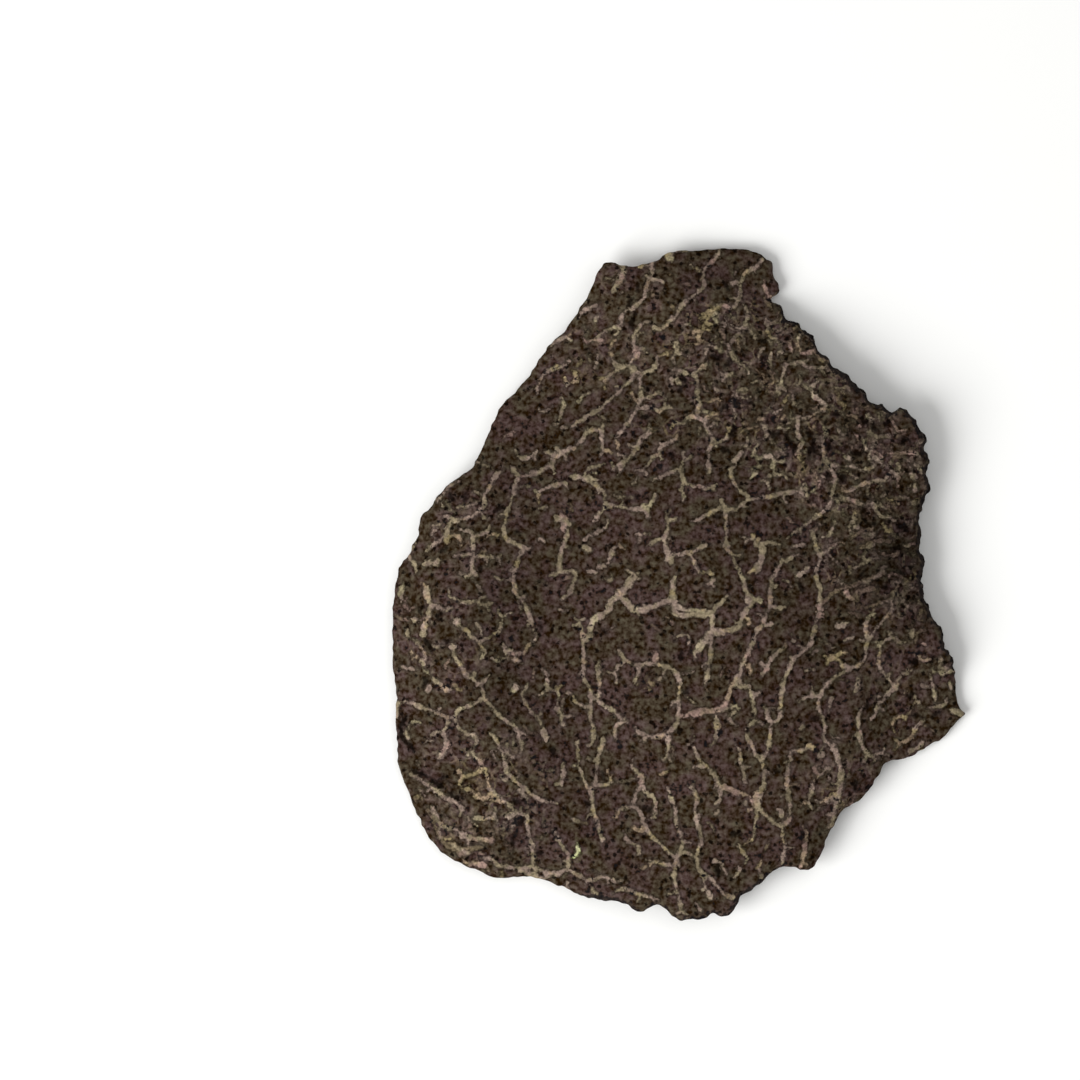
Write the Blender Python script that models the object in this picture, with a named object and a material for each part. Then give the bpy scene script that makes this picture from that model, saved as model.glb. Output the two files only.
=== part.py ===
"""One slice of black truffle, cut thin across the whole fungus and left to bow a little as it
dries. It grew as one piece, so it is one solid: a warped sheet with a cut top and underside,
dark warty skin left on part of its rim, and a torn or shaved edge on the rest.

Run it with blender --background --python part.py, or from Blender's text editor.
Blender's units are metres. The outline is written in millimetres and scaled by MM.
"""

import math
import random

import bpy
import bmesh
import numpy as np
from mathutils import Vector
from mathutils.geometry import delaunay_2d_cdt

MM = 0.001

# Driving sizes, in millimetres
SLICE_LENGTH = 47.2
SLICE_THICKNESS = 1.6
SKIN_RIM_THICKNESS = 1.35
CUT_RIM_THICKNESS = 0.95
TORN_RIM_THICKNESS = 0.75
TAPER_WIDTH = 3.2
DOME_HEIGHT = 2.7
LEFT_RIDGE_HEIGHT = 1.5
RIM_LIFT = 0.75
FLOOR_CLEARANCE = 0.4

# The three low points that the slice rests on: the middle of each flat spot
FEET = ((18.0, -8.9), (4.9, 21.6), (-17.0, -14.6))
FOOT_RADIUS = 1.1
FOOT_BLEND = 5.0

# How finely the solid is cut into facets
RIM_STEP = 0.42
INSIDE_STEP = 0.9
RIM_ROUNDING = 0.2

# Warts on the skin, seen on the rim only, because the faces are cut
WART_PITCH = 1.7
WART_HEIGHT = 0.22
WART_SEED = 11

# The outline clockwise from its top corner, one stretch after another, in millimetres.
# Each stretch says how its rim is finished: cut by the blade, torn, or grown skin.
OUTLINE = (
    ("cut", ((1.9, 23.6), (2.9, 23.65), (4.3, 23.65), (5.3, 23.5), (6.0, 23.1), (6.6, 22.6),
             (6.8, 21.6), (7.15, 20.9), (7.1, 20.5), (6.75, 20.15), (6.5, 19.95))),
    ("skin", ((7.0, 19.55), (7.6, 18.7), (8.2, 18.1), (8.8, 17.7), (9.3, 17.2), (9.7, 16.5),
              (10.1, 15.9), (10.6, 15.3), (11.2, 14.9), (11.7, 14.65), (11.95, 14.2),
              (12.4, 13.9), (13.0, 13.3), (13.5, 12.8), (14.1, 12.5), (14.7, 12.15),
              (15.4, 12.35), (16.0, 12.05), (16.5, 11.5), (16.9, 10.6), (17.15, 9.8),
              (17.3, 9.0), (17.35, 7.7), (17.3, 6.6), (17.0, 5.6), (16.75, 4.5), (16.7, 3.4),
              (16.9, 2.4), (17.0, 1.2), (16.95, 0.2), (17.1, -0.9), (17.5, -1.9), (18.0, -2.7),
              (18.4, -3.6), (18.8, -4.7), (19.2, -5.5))),
    ("torn", ((19.5, -6.6), (19.6, -7.7), (19.8, -8.5), (20.15, -9.1), (19.6, -9.6),
              (19.15, -10.2), (18.7, -10.75), (17.9, -11.2), (17.0, -11.7), (16.2, -12.1),
              (15.3, -12.35), (14.5, -12.5))),
    ("cut", ((14.3, -12.95), (13.8, -13.7), (13.1, -14.7), (12.6, -15.2), (11.8, -15.65),
             (11.3, -16.1), (10.9, -16.8), (10.45, -17.8), (10.0, -18.9), (9.5, -19.7),
             (9.0, -20.1), (8.5, -19.95), (7.8, -19.8), (7.1, -19.8), (6.5, -20.2),
             (5.8, -20.8), (5.1, -21.4), (4.4, -21.8), (4.15, -22.3), (3.8, -22.9),
             (3.1, -23.3), (2.4, -23.05), (1.8, -23.4), (0.9, -23.5), (0.1, -23.55),
             (-0.5, -23.2), (-1.0, -22.7), (-1.5, -22.45), (-2.0, -22.6), (-2.6, -23.0),
             (-3.3, -22.7), (-4.0, -22.3), (-5.0, -22.2), (-6.2, -22.0))),
    ("torn", ((-7.0, -21.8), (-7.7, -21.35), (-8.6, -21.1), (-9.4, -20.7), (-10.8, -20.5),
              (-12.0, -20.6), (-13.0, -20.55), (-13.9, -20.2), (-15.0, -19.75), (-16.0, -19.3),
              (-16.7, -18.8), (-17.3, -18.1), (-17.8, -17.5), (-18.2, -16.6), (-18.6, -15.7),
              (-18.9, -14.9), (-19.4, -13.7), (-19.75, -12.7), (-19.8, -11.2),
              (-19.9, -9.6), (-19.85, -8.0), (-20.1, -5.9), (-20.15, -3.9), (-20.1, -1.4),
              (-19.95, -0.3), (-19.8, 0.7), (-19.5, 1.6), (-18.95, 2.1), (-18.7, 2.8),
              (-18.35, 3.6))),
    ("cut", ((-18.1, 4.8), (-17.4, 5.6), (-16.8, 6.4), (-16.2, 7.1), (-15.4, 7.7),
             (-14.65, 8.2), (-14.1, 9.1), (-13.65, 10.2), (-13.2, 11.2), (-12.8, 12.1),
             (-12.2, 12.95), (-11.35, 13.8), (-10.5, 14.8), (-9.7, 16.1), (-8.9, 17.1),
             (-8.0, 17.9), (-7.3, 19.0), (-6.6, 20.1), (-6.1, 21.2), (-5.7, 22.1),
             (-5.2, 22.6), (-4.6, 22.7), (-3.95, 22.45), (-2.8, 22.45), (-1.9, 22.6),
             (-1.2, 23.05), (-0.4, 23.4), (0.8, 23.5))),
)

RIM_THICKNESSES = {
    "cut": CUT_RIM_THICKNESS,
    "torn": TORN_RIM_THICKNESS,
    "skin": SKIN_RIM_THICKNESS,
}


def bump(distance, reach):
    """1 at no distance, falling smoothly to 0 at reach and beyond."""
    share = np.clip(distance / reach, 0.0, 1.0)
    return 1.0 - share * share * (3.0 - 2.0 * share)


def spline_point(a, b, c, d, t):
    """A Catmull-Rom spline's point between b and c."""
    return 0.5 * (
        2.0 * b
        + (c - a) * t
        + (2.0 * a - 5.0 * b + 4.0 * c - d) * t ** 2
        + (3.0 * b - 3.0 * c + d - a) * t ** 3
    )


def smooth_rim(steps_per_point=12):
    """The outline as an evenly spaced loop: points, rim thickness and skin share at each."""
    points = np.array([p for _, stretch in OUTLINE for p in stretch])
    points *= SLICE_LENGTH / np.ptp(points[:, 1])
    thickness = np.array([RIM_THICKNESSES[kind] for kind, stretch in OUTLINE for _ in stretch])
    skin = np.array([float(kind == "skin") for kind, stretch in OUTLINE for _ in stretch])
    known = np.column_stack([points, thickness, skin])
    count = len(known)
    fine = np.array([
        spline_point(known[i - 1], known[i], known[(i + 1) % count], known[(i + 2) % count], t)
        for i in range(count)
        for t in np.arange(steps_per_point) / steps_per_point
    ])
    closed = np.vstack([fine, fine[:1]])
    along = np.concatenate([[0.0], np.cumsum(np.hypot(*np.diff(closed[:, :2], axis=0).T))])
    even = np.linspace(0.0, along[-1], round(along[-1] / RIM_STEP), endpoint=False)
    loop = np.column_stack([np.interp(even, along, column) for column in closed.T])
    return loop[:, :2], loop[:, 2], np.clip(loop[:, 3], 0.0, 1.0), even


def outward(loop):
    """Unit vectors that point out of a clockwise loop."""
    along = np.roll(loop, -1, axis=0) - np.roll(loop, 1, axis=0)
    along /= np.linalg.norm(along, axis=1)[:, None]
    return np.column_stack([-along[:, 1], along[:, 0]])


def warty(loop, skin, along):
    """Push the skin stretches out into warts of uneven pitch and height."""
    draw = random.Random(WART_SEED)
    heights = np.zeros(len(loop))
    start = 0.0
    while start < along[-1]:
        pitch = WART_PITCH * draw.uniform(0.7, 1.25)
        height = WART_HEIGHT * draw.uniform(0.6, 1.2)
        inside = (along >= start) & (along < start + pitch)
        heights[inside] = height * np.sin(math.pi * (along[inside] - start) / pitch)
        start += pitch
    return loop + outward(loop) * (heights * skin)[:, None]


def lift(x, y):
    """How high the underside stands over the floor, in millimetres, away from the feet."""
    dome = DOME_HEIGHT * np.exp(-((x - 3.5) / 11.0) ** 2 - ((y + 1.0) / 15.0) ** 2)
    ridge = LEFT_RIDGE_HEIGHT * np.exp(-((x + 14.8) / 3.9) ** 2 - ((y + 2.0) / 11.0) ** 2)
    upper_rim = RIM_LIFT * np.exp(-((x - 13.0) / 5.0) ** 2 - ((y - 11.0) / 6.0) ** 2)
    lower_rim = RIM_LIFT * np.exp(-((x - 1.0) / 8.0) ** 2 - ((y + 22.0) / 5.0) ** 2)
    corner = RIM_LIFT * np.exp(-((x + 7.0) / 6.0) ** 2 - ((y - 19.0) / 6.0) ** 2)
    ripple = 0.12 * np.sin(0.55 * x + 0.9) * np.sin(0.42 * y + 0.3)
    return FLOOR_CLEARANCE + dome + ridge + upper_rim + lower_rim + corner + ripple


def underside(points):
    """Height of the underside at each point: the lift, brought down to 0 at the three feet."""
    x, y = points.T
    height = np.maximum(lift(x, y), FLOOR_CLEARANCE)
    for foot in FEET:
        away = np.hypot(x - foot[0], y - foot[1]) - FOOT_RADIUS
        height = height * (1.0 - bump(np.maximum(away, 0.0), FOOT_BLEND))
    return np.where(height < 1e-6, 0.0, height)


def thickness_at(points, rim, rim_thickness):
    """Full thickness inside, tapering to the rim's own thickness near it."""
    gaps = np.hypot(points[:, None, 0] - rim[None, :, 0], points[:, None, 1] - rim[None, :, 1])
    nearest = gaps.argmin(axis=1)
    at_rim = bump(gaps.min(axis=1), TAPER_WIDTH)
    full = SLICE_THICKNESS + 0.07 * np.sin(0.8 * points[:, 0]) * np.sin(0.9 * points[:, 1] + 1.0)
    return full + (rim_thickness[nearest] - full) * at_rim


def inside_points(ring):
    """A honeycomb of points within the ring, clear of it and of the feet, and the feet's rings."""
    rows = []
    row_step = INSIDE_STEP * math.sqrt(3.0) / 2.0
    low, high = ring.min(axis=0), ring.max(axis=0)
    for j in range(math.ceil((high[1] - low[1]) / row_step)):
        offset = INSIDE_STEP / 2.0 * (j % 2)
        for i in range(math.ceil((high[0] - low[0]) / INSIDE_STEP)):
            rows.append((low[0] + offset + i * INSIDE_STEP, low[1] + j * row_step))
    points = np.array(rows)
    ends = np.roll(ring, -1, axis=0)
    crosses = (ring[None, :, 1] > points[:, None, 1]) != (ends[None, :, 1] > points[:, None, 1])
    rise = np.where(ends[:, 1] == ring[:, 1], 1.0, ends[:, 1] - ring[:, 1])
    reach = (points[:, None, 1] - ring[:, 1]) / rise * (ends[:, 0] - ring[:, 0]) + ring[:, 0]
    inside = (crosses & (points[:, None, 0] < reach)).sum(axis=1) % 2 == 1
    gaps = np.hypot(points[:, None, 0] - ring[None, :, 0], points[:, None, 1] - ring[None, :, 1])
    keep = inside & (gaps.min(axis=1) > 0.55 * INSIDE_STEP)
    feet_rings = []
    for foot in FEET:
        keep &= np.hypot(points[:, 0] - foot[0], points[:, 1] - foot[1]) > FOOT_RADIUS + 0.45
        for turn in np.arange(8) * math.tau / 8:
            edge = (FOOT_RADIUS * math.cos(turn), FOOT_RADIUS * math.sin(turn))
            feet_rings.append((foot[0] + edge[0], foot[1] + edge[1]))
    return np.vstack([points[keep], feet_rings])


def triangulated(ring, points):
    """Triangles between the ring and the points inside it, all facing up."""
    flat = [Vector(p) for p in np.vstack([ring, points])]
    face = list(range(len(ring)))
    placed, _, faces, *_ = delaunay_2d_cdt(flat, [], [face], 1, 1e-7)
    where = np.array([tuple(p) for p in placed])
    turned = []
    for a, b, c in faces:
        (ax, ay), (bx, by), (cx, cy) = where[[a, b, c]]
        area = (bx - ax) * (cy - ay) - (by - ay) * (cx - ax)
        turned.append((a, b, c) if area > 0.0 else (a, c, b))
    return where, turned


def truffle_material():
    """The dark flesh's plain colour: a matt grey brown."""
    material = bpy.data.materials.new("truffle flesh")
    material.use_nodes = True
    shader = material.node_tree.nodes["Principled BSDF"]
    shader.inputs["Base Color"].default_value = (0.082, 0.064, 0.052, 1.0)
    shader.inputs["Roughness"].default_value = 0.62
    shader.inputs["Metallic"].default_value = 0.0
    return material


def truffle_slice():
    """The slice: top and underside cut into the same triangles, joined by a rounded rim."""
    loop, rim_thickness, skin, along = smooth_rim()
    rim = warty(loop, skin, along)
    inset = rim - outward(rim) * RIM_ROUNDING
    flat, triangles = triangulated(inset, inside_points(inset))
    below = underside(flat)
    above = below + thickness_at(flat, rim, rim_thickness)
    middle = underside(rim) + 0.5 * rim_thickness

    # The box's middle comes to the origin, so that the part stands on it.
    centre = 0.5 * (rim.min(axis=0) + rim.max(axis=0))
    shape = bmesh.new()
    place = lambda p, z: shape.verts.new(((p[0] - centre[0]) * MM, (p[1] - centre[1]) * MM, z * MM))
    top = [place(p, z) for p, z in zip(flat, above)]
    bottom = [place(p, z) for p, z in zip(flat, below)]
    edge = [place(p, z) for p, z in zip(rim, middle)]
    for a, b, c in triangles:
        shape.faces.new((top[a], top[b], top[c]))
        shape.faces.new((bottom[a], bottom[c], bottom[b]))
    count = len(edge)
    for i in range(count):
        j = (i + 1) % count
        shape.faces.new((top[i], top[j], edge[i]))
        shape.faces.new((top[j], edge[j], edge[i]))
        shape.faces.new((edge[i], edge[j], bottom[i]))
        shape.faces.new((edge[j], bottom[j], bottom[i]))
    mesh = bpy.data.meshes.new("truffle_slice")
    shape.to_mesh(mesh)
    shape.free()
    slice_object = bpy.data.objects.new("truffle_slice", mesh)
    bpy.context.scene.collection.objects.link(slice_object)
    mesh.materials.append(truffle_material())
    mesh.shade_smooth()
    mesh.set_sharp_from_angle(angle=math.radians(40))
    print("truffle_slice:", len(mesh.polygons), "triangles, box centre moved by", centre)
    return slice_object


for old in list(bpy.data.objects):
    bpy.data.objects.remove(old)
truffle_slice()
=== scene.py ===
# %% [markdown]
# A slice of black truffle, lying on a white surface and seen from straight above.
# The fungus was shaved into a thin sheet. Its dark flesh is marbled with pale veins, its rim keeps
# some of the warty black skin, and it bowed a little as it dried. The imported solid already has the
# outline, the thickness and the bow, so this lesson reads those from it and adds what only the
# looks need: the marbling, the speckle, the fine relief of the cut, and the light.

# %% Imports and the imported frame
import math

import bmesh
import bpy
import numpy as np
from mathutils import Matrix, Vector
from mathutils.bvhtree import BVHTree
from mathutils.geometry import delaunay_2d_cdt


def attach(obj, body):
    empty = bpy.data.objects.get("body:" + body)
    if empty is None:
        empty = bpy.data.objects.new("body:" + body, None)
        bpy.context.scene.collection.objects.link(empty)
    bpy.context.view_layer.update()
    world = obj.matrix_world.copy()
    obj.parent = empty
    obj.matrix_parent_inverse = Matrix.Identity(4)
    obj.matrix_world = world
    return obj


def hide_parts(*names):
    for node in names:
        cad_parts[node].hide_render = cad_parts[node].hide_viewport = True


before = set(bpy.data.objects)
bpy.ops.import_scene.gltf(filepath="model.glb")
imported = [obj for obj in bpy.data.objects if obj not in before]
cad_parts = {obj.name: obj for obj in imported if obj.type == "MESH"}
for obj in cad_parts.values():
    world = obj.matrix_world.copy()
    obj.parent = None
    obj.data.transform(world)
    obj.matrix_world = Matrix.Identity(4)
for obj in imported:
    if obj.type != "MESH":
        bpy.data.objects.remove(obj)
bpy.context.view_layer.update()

# %% [markdown]
# Blender works in metres, but a slice of truffle is easier to think about in millimetres.
# MM turns one into the other. Everything below that is called a size is in millimetres until it is
# multiplied by MM.

# %% Millimetres and easing
MM = 0.001


def clamp01(values):
    """Values held between 0 and 1."""
    return np.clip(values, 0.0, 1.0)


def smooth_step(values, low, high):
    """0 below low, 1 above high, with an eased rise between."""
    share = clamp01((values - low) / (high - low))
    return share * share * (3.0 - 2.0 * share)


# %% [markdown]
# The camera comes first, because the pattern is judged through it. The photograph was taken from
# straight above, and its frame is 75.6 mm wide where the slice lies. The slice isn't in the middle
# of the frame, so the camera stands over the frame's own middle and needs no shift or turn. A long
# lens keeps the low rim and the higher middle at nearly one scale, as the photograph has them.

# %% Camera
FRAME_WIDTH = 75.6
FRAME_MIDDLE = (-9.73, 3.10)
LENS = 200.0
SENSOR = 36.0
NEAR_CLIP = 10.0
SLICE_LEVEL = 1.4


def photograph_camera():
    """A camera straight above the frame's middle, at the height that gives the frame's width."""
    data = bpy.data.cameras.new("camera above")
    data.lens = LENS
    data.sensor_width = SENSOR
    data.sensor_fit = "HORIZONTAL"
    data.clip_start = NEAR_CLIP * MM
    camera = bpy.data.objects.new("camera above", data)
    distance = FRAME_WIDTH * LENS / SENSOR
    camera.location = (FRAME_MIDDLE[0] * MM, FRAME_MIDDLE[1] * MM, (distance + SLICE_LEVEL) * MM)
    bpy.context.scene.collection.objects.link(camera)
    bpy.context.scene.camera = camera
    return camera


camera = photograph_camera()
print("camera at", tuple(round(c / MM, 1) for c in camera.location), "mm")

# %% [markdown]
# The slice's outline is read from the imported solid, so the two can't drift apart. The solid is a
# closed mesh of loose triangles. A copy of it is merged, and each edge that has one face looking up
# and one looking down lies on the rim. Walking those edges gives the outline as a loop.

# %% A merged copy of the solid, and its rim
NODE = "truffle_slice"
SAME_PLACE = 0.001


def merged_copy(node_object):
    """A bmesh of the CAD node with its loose triangles joined."""
    copy = bmesh.new()
    copy.from_mesh(node_object.data)
    bmesh.ops.remove_doubles(copy, verts=copy.verts, dist=SAME_PLACE * MM)
    copy.normal_update()
    return copy


def rim_loop(solid):
    """The points along the rim, in order and clockwise seen from above, in millimetres."""
    after = {}
    for edge in solid.edges:
        first, second = (face.normal.z > 0.0 for face in edge.link_faces)
        if first != second:
            a, b = edge.verts
            after.setdefault(a, []).append(b)
            after.setdefault(b, []).append(a)
    start = next(iter(after))
    loop = [start]
    before, here = None, start
    while True:
        onward = [v for v in after[here] if v is not before]
        before, here = here, onward[0]
        if here is start:
            break
        loop.append(here)
    points = np.array([v.co for v in loop]) / MM
    turned = np.roll(points, -1, axis=0)
    doubled_area = (points[:, 0] * turned[:, 1] - turned[:, 0] * points[:, 1]).sum()
    return points if doubled_area < 0.0 else points[::-1]


cad_copy = merged_copy(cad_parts[NODE])
cad_rim = rim_loop(cad_copy)
print("rim of the solid:", len(cad_rim), "points, from", cad_rim.min(0), "to", cad_rim.max(0), "mm")

# %% [markdown]
# The facets of the solid are about 0.9 mm wide, which is fine for a physics model and far too
# coarse to look at. The outline is drawn again as a smooth curve through the rim's points, with a
# point every 0.11 mm. A Catmull-Rom spline passes through each point it is given, so it keeps the
# outline and needs no handles.

# %% A smooth line round the rim
RIM_STEP = 0.11
PARTS_PER_SPAN = 8


def spline_through(points, step, closed=False):
    """Points along a Catmull-Rom spline through the given ones, evenly spaced by about step."""
    points = np.asarray(points, float)
    if closed:
        ends = np.vstack([points[-1:], points, points[:2]])
    else:
        first = 2.0 * points[:1] - points[1:2]
        last = 2.0 * points[-1:] - points[-2:-1]
        ends = np.vstack([first, points, last])
    a, b, c, d = ends[:-3], ends[1:-2], ends[2:-1], ends[3:]
    runs = [
        0.5 * (2.0 * b + (c - a) * t + (2.0 * a - 5.0 * b + 4.0 * c - d) * t ** 2
               + (3.0 * b - 3.0 * c + d - a) * t ** 3)
        for t in np.arange(PARTS_PER_SPAN) / PARTS_PER_SPAN
    ]
    fine = np.stack(runs, axis=1).reshape(-1, points.shape[1])
    fine = np.vstack([fine, points[:1] if closed else points[-1:]])
    gaps = np.linalg.norm(np.diff(fine, axis=0), axis=1)
    along = np.concatenate([[0.0], np.cumsum(gaps)])
    count = max(2, round(along[-1] / step) + 1)
    even = np.linspace(0.0, along[-1], count, endpoint=not closed)
    return np.column_stack([np.interp(even, along, column) for column in fine.T])


def outward(loop):
    """Unit vectors in plan that point out of a clockwise loop."""
    along = np.roll(loop[:, :2], -1, axis=0) - np.roll(loop[:, :2], 1, axis=0)
    along /= np.linalg.norm(along, axis=1)[:, None]
    return np.column_stack([-along[:, 1], along[:, 0]])


rim = spline_through(cad_rim, RIM_STEP, closed=True)
print("smooth rim:", len(rim), "points")

# %% [markdown]
# Only one stretch of the rim is grown skin: from the curled tab at the upper right, clockwise down
# to the pointed corner. The rest was cut through or torn. Each point of the rim gets a share of
# skin, eased at both ends, and later the warts and the colour both read that share.

# %% Where the rim is skin
SKIN_FROM = (6.7, 19.8)
SKIN_TO = (19.3, -6.0)
SKIN_EASE = 1.5


def stretch_share(loop, start, end):
    """1 on the stretch from start clockwise to end, 0 elsewhere, eased over SKIN_EASE."""
    first = np.hypot(*(loop[:, :2] - start).T).argmin()
    last = np.hypot(*(loop[:, :2] - end).T).argmin()
    count = len(loop)
    share = ((np.arange(count) - first) % count < (last - first) % count).astype(float)
    reach = round(SKIN_EASE / RIM_STEP)
    window = np.hanning(2 * reach + 1)
    wrapped = np.concatenate([share[-reach:], share, share[:reach]])
    return np.convolve(wrapped, window / window.sum(), mode="valid")


rim_skin = stretch_share(rim, SKIN_FROM, SKIN_TO)
print("skin on", round(rim_skin.sum() * RIM_STEP, 1), "mm of rim")

# %% [markdown]
# Fine unevenness of the rim comes from a one-dimensional noise: random heights at even steps along
# the rim, joined smoothly. Warts are made of coarser, deeper steps on the skin, and the torn edge
# has finer, shallower ones. The torn edge only moves inwards, so that the slice stays inside the
# solid's box. On the skin there is room, and the warts stand half outside the smooth line.

# %% The roughened rim
WART_PITCH = 0.62
WART_DEPTH = 0.16
FINE_WART_PITCH = 0.3
FINE_WART_DEPTH = 0.17
WART_LIFT = 0.14
TEAR_PITCH = 0.4
TEAR_DEPTH = 0.13


def noise_along(count, spacing, pitch, seed):
    """Smooth closed noise from 0 to 1 at count points that stand spacing apart."""
    draw = np.random.default_rng(seed)
    knots = max(4, round(count * spacing / pitch))
    values = draw.random(knots)
    where = np.arange(count) * knots / count
    low = np.floor(where).astype(int)
    share = smooth_step(where - low, 0.0, 1.0)
    return values[low % knots] * (1.0 - share) + values[(low + 1) % knots] * share


def roughened(loop, skin):
    """The loop with warts on its skin and a ragged edge elsewhere."""
    warts = noise_along(len(loop), RIM_STEP, WART_PITCH, seed=21)
    fine = noise_along(len(loop), RIM_STEP, FINE_WART_PITCH, seed=23)
    tears = noise_along(len(loop), RIM_STEP, TEAR_PITCH, seed=22)
    wart_depth = WART_DEPTH * warts + FINE_WART_DEPTH * fine - WART_LIFT
    depth = skin * wart_depth + (1.0 - skin) * TEAR_DEPTH * tears
    moved = loop.copy()
    moved[:, :2] -= outward(loop) * depth[:, None]
    return moved


rim = roughened(rim, rim_skin)
print("roughened rim from", rim.min(0).round(2), "to", rim.max(0).round(2), "mm")

# %% [markdown]
# The top is a sheet of small triangles. Their points stand on a honeycomb, 0.14 mm apart, because
# the narrowest veins are about 0.2 mm wide and the pattern is stored on the points. Each point is
# nudged a little, so that no rows show. A constrained Delaunay triangulation joins them to the rim.
# The underside has points 0.42 mm apart, which is enough for a face that is seldom seen.

# %% Points of the two faces
TOP_STEP = 0.143
UNDER_STEP = 0.42
RIM_INSET = 0.12
NUDGE_STEPS = 0.12
CLEARANCE_STEPS = 0.6
TRIANGLE_ACCURACY = 1e-7
POINTS_AT_ONCE = 400


def nearest_in_plan(points, others):
    """For each point, the distance in plan to the nearest of the others, and that one's number."""
    gap = np.empty(len(points))
    which = np.empty(len(points), int)
    for part in np.array_split(np.arange(len(points)), 1 + len(points) // POINTS_AT_ONCE):
        away = np.hypot(
            points[part, None, 0] - others[None, :, 0],
            points[part, None, 1] - others[None, :, 1],
        )
        which[part] = away.argmin(axis=1)
        gap[part] = away.min(axis=1)
    return gap, which


def honeycomb(ring, step):
    """Points on a honeycomb inside the ring, clear of it by more than half a step."""
    low, high = ring.min(axis=0), ring.max(axis=0)
    draw = np.random.default_rng(5)
    found = []
    ends = np.roll(ring, -1, axis=0)
    for j, y in enumerate(np.arange(low[1], high[1], step * math.sqrt(3.0) / 2.0)):
        crossing = (ring[:, 1] > y) != (ends[:, 1] > y)
        a, b = ring[crossing], ends[crossing]
        cuts = np.sort(a[:, 0] + (y - a[:, 1]) / (b[:, 1] - a[:, 1]) * (b[:, 0] - a[:, 0]))
        x = np.arange(low[0] + step / 2.0 * (j % 2), high[0], step)
        x = x[np.searchsorted(cuts, x) % 2 == 1]
        found.append(np.column_stack([x, np.full(len(x), y)]))
    points = np.vstack(found)
    points += draw.uniform(-NUDGE_STEPS, NUDGE_STEPS, points.shape) * step
    return points[nearest_in_plan(points, ring)[0] > CLEARANCE_STEPS * step]


def sheet(ring, step):
    """Plan points and triangles that fill the ring: the ring's own points come first."""
    points = np.vstack([ring, honeycomb(ring, step)])
    outline = [list(range(len(ring)))]
    vectors = [Vector(p) for p in points]
    placed, _, faces, *_ = delaunay_2d_cdt(vectors, [], outline, 1, TRIANGLE_ACCURACY)
    placed = np.array([tuple(p) for p in placed])
    faces = np.array(faces)
    a, b, c = placed[faces[:, 0]], placed[faces[:, 1]], placed[faces[:, 2]]
    area = (b[:, 0] - a[:, 0]) * (c[:, 1] - a[:, 1]) - (b[:, 1] - a[:, 1]) * (c[:, 0] - a[:, 0])
    faces[area < 0.0] = faces[area < 0.0][:, [0, 2, 1]]
    return placed, faces


ring = rim[:, :2] - outward(rim) * RIM_INSET
top_plan, top_faces = sheet(ring, TOP_STEP)
under_plan, under_faces = sheet(ring, UNDER_STEP)
print("top", len(top_faces), "triangles, underside", len(under_faces))

# %% [markdown]
# Each point's height is read from the solid. To hide the facets, the merged copy is smoothed with
# two levels of subdivision first, and a ray is dropped on it from above, or raised to it from
# below, through each point in plan. Where a ray misses at the very rim, the nearest place on the
# surface is taken instead.

# %% Heights of the two faces
SUBDIVISIONS = 2
RAY_START = 20.0
MIDDLE_LEVEL = 1.0


def smoothed_tree(solid):
    """A search tree over the solid after two levels of Catmull-Clark subdivision."""
    mesh = bpy.data.meshes.new("smooth form")
    solid.to_mesh(mesh)
    form = bpy.data.objects.new("smooth form", mesh)
    bpy.context.scene.collection.objects.link(form)
    subdivide = form.modifiers.new("smooth", "SUBSURF")
    subdivide.levels = SUBDIVISIONS
    subdivide.render_levels = SUBDIVISIONS
    tree = BVHTree.FromObject(form, bpy.context.evaluated_depsgraph_get())
    bpy.data.objects.remove(form)
    bpy.data.meshes.remove(mesh)
    return tree


def heights(tree, plan, from_above):
    """Height in millimetres of the smooth form at each plan point."""
    side = 1.0 if from_above else -1.0
    direction = Vector((0.0, 0.0, -side))
    found = np.empty(len(plan))
    for i, (x, y) in enumerate(plan):
        origin = Vector((x * MM, y * MM, side * RAY_START * MM))
        hit = tree.ray_cast(origin, direction)[0]
        if hit is None:
            hit = tree.find_nearest(Vector((x * MM, y * MM, MIDDLE_LEVEL * MM)))[0]
        found[i] = hit.z / MM
    return found


form_tree = smoothed_tree(cad_copy)
cad_copy.free()
top_height = heights(form_tree, top_plan, True)
under_height = heights(form_tree, under_plan, False)
print("top from", top_height.min().round(2), "to", top_height.max().round(2), "mm")

# %% [markdown]
# The rim joins the two faces. Its section is a rounded edge of five rows, fuller than a half circle
# so that a blade's cut still looks like a cut. With the top, the rim and the underside joined, the
# slice is one closed mesh whose faces all point outwards.

# %% The mesh of the slice
EDGE_ROWS = 5
EDGE_FULLNESS = 0.55


def slice_mesh():
    """The closed mesh: top, rim rows, underside."""
    count = len(rim)
    top_points = np.column_stack([top_plan, top_height])
    under_points = np.column_stack([under_plan, under_height])
    rows = []
    for j in range(1, EDGE_ROWS + 1):
        turn = math.pi * (0.5 - j / (EDGE_ROWS + 1))
        out = math.cos(turn) ** EDGE_FULLNESS
        up = math.sin(turn)
        plan = ring + (rim[:, :2] - ring) * out
        middle = 0.5 * (top_height[:count] + under_height[:count])
        half = 0.5 * (top_height[:count] - under_height[:count])
        rows.append(np.column_stack([plan, middle + half * up]))
    points = np.vstack([top_points, *rows, under_points])
    row_starts = [0] + [len(top_points) + j * count for j in range(EDGE_ROWS + 1)]
    under_start = row_starts[-1]
    here = np.arange(count)
    onward = (here + 1) % count
    walls = [
        np.column_stack([high + here, high + onward, low + onward, low + here])
        for high, low in zip(row_starts[:-1], row_starts[1:])
    ]
    faces = top_faces.tolist() + (under_faces[:, [0, 2, 1]] + under_start).tolist()
    for wall in walls:
        faces += wall.tolist()
    mesh = bpy.data.meshes.new(NODE + "_look")
    mesh.from_pydata((points * MM).tolist(), [], faces)
    mesh.update()
    return mesh


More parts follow.
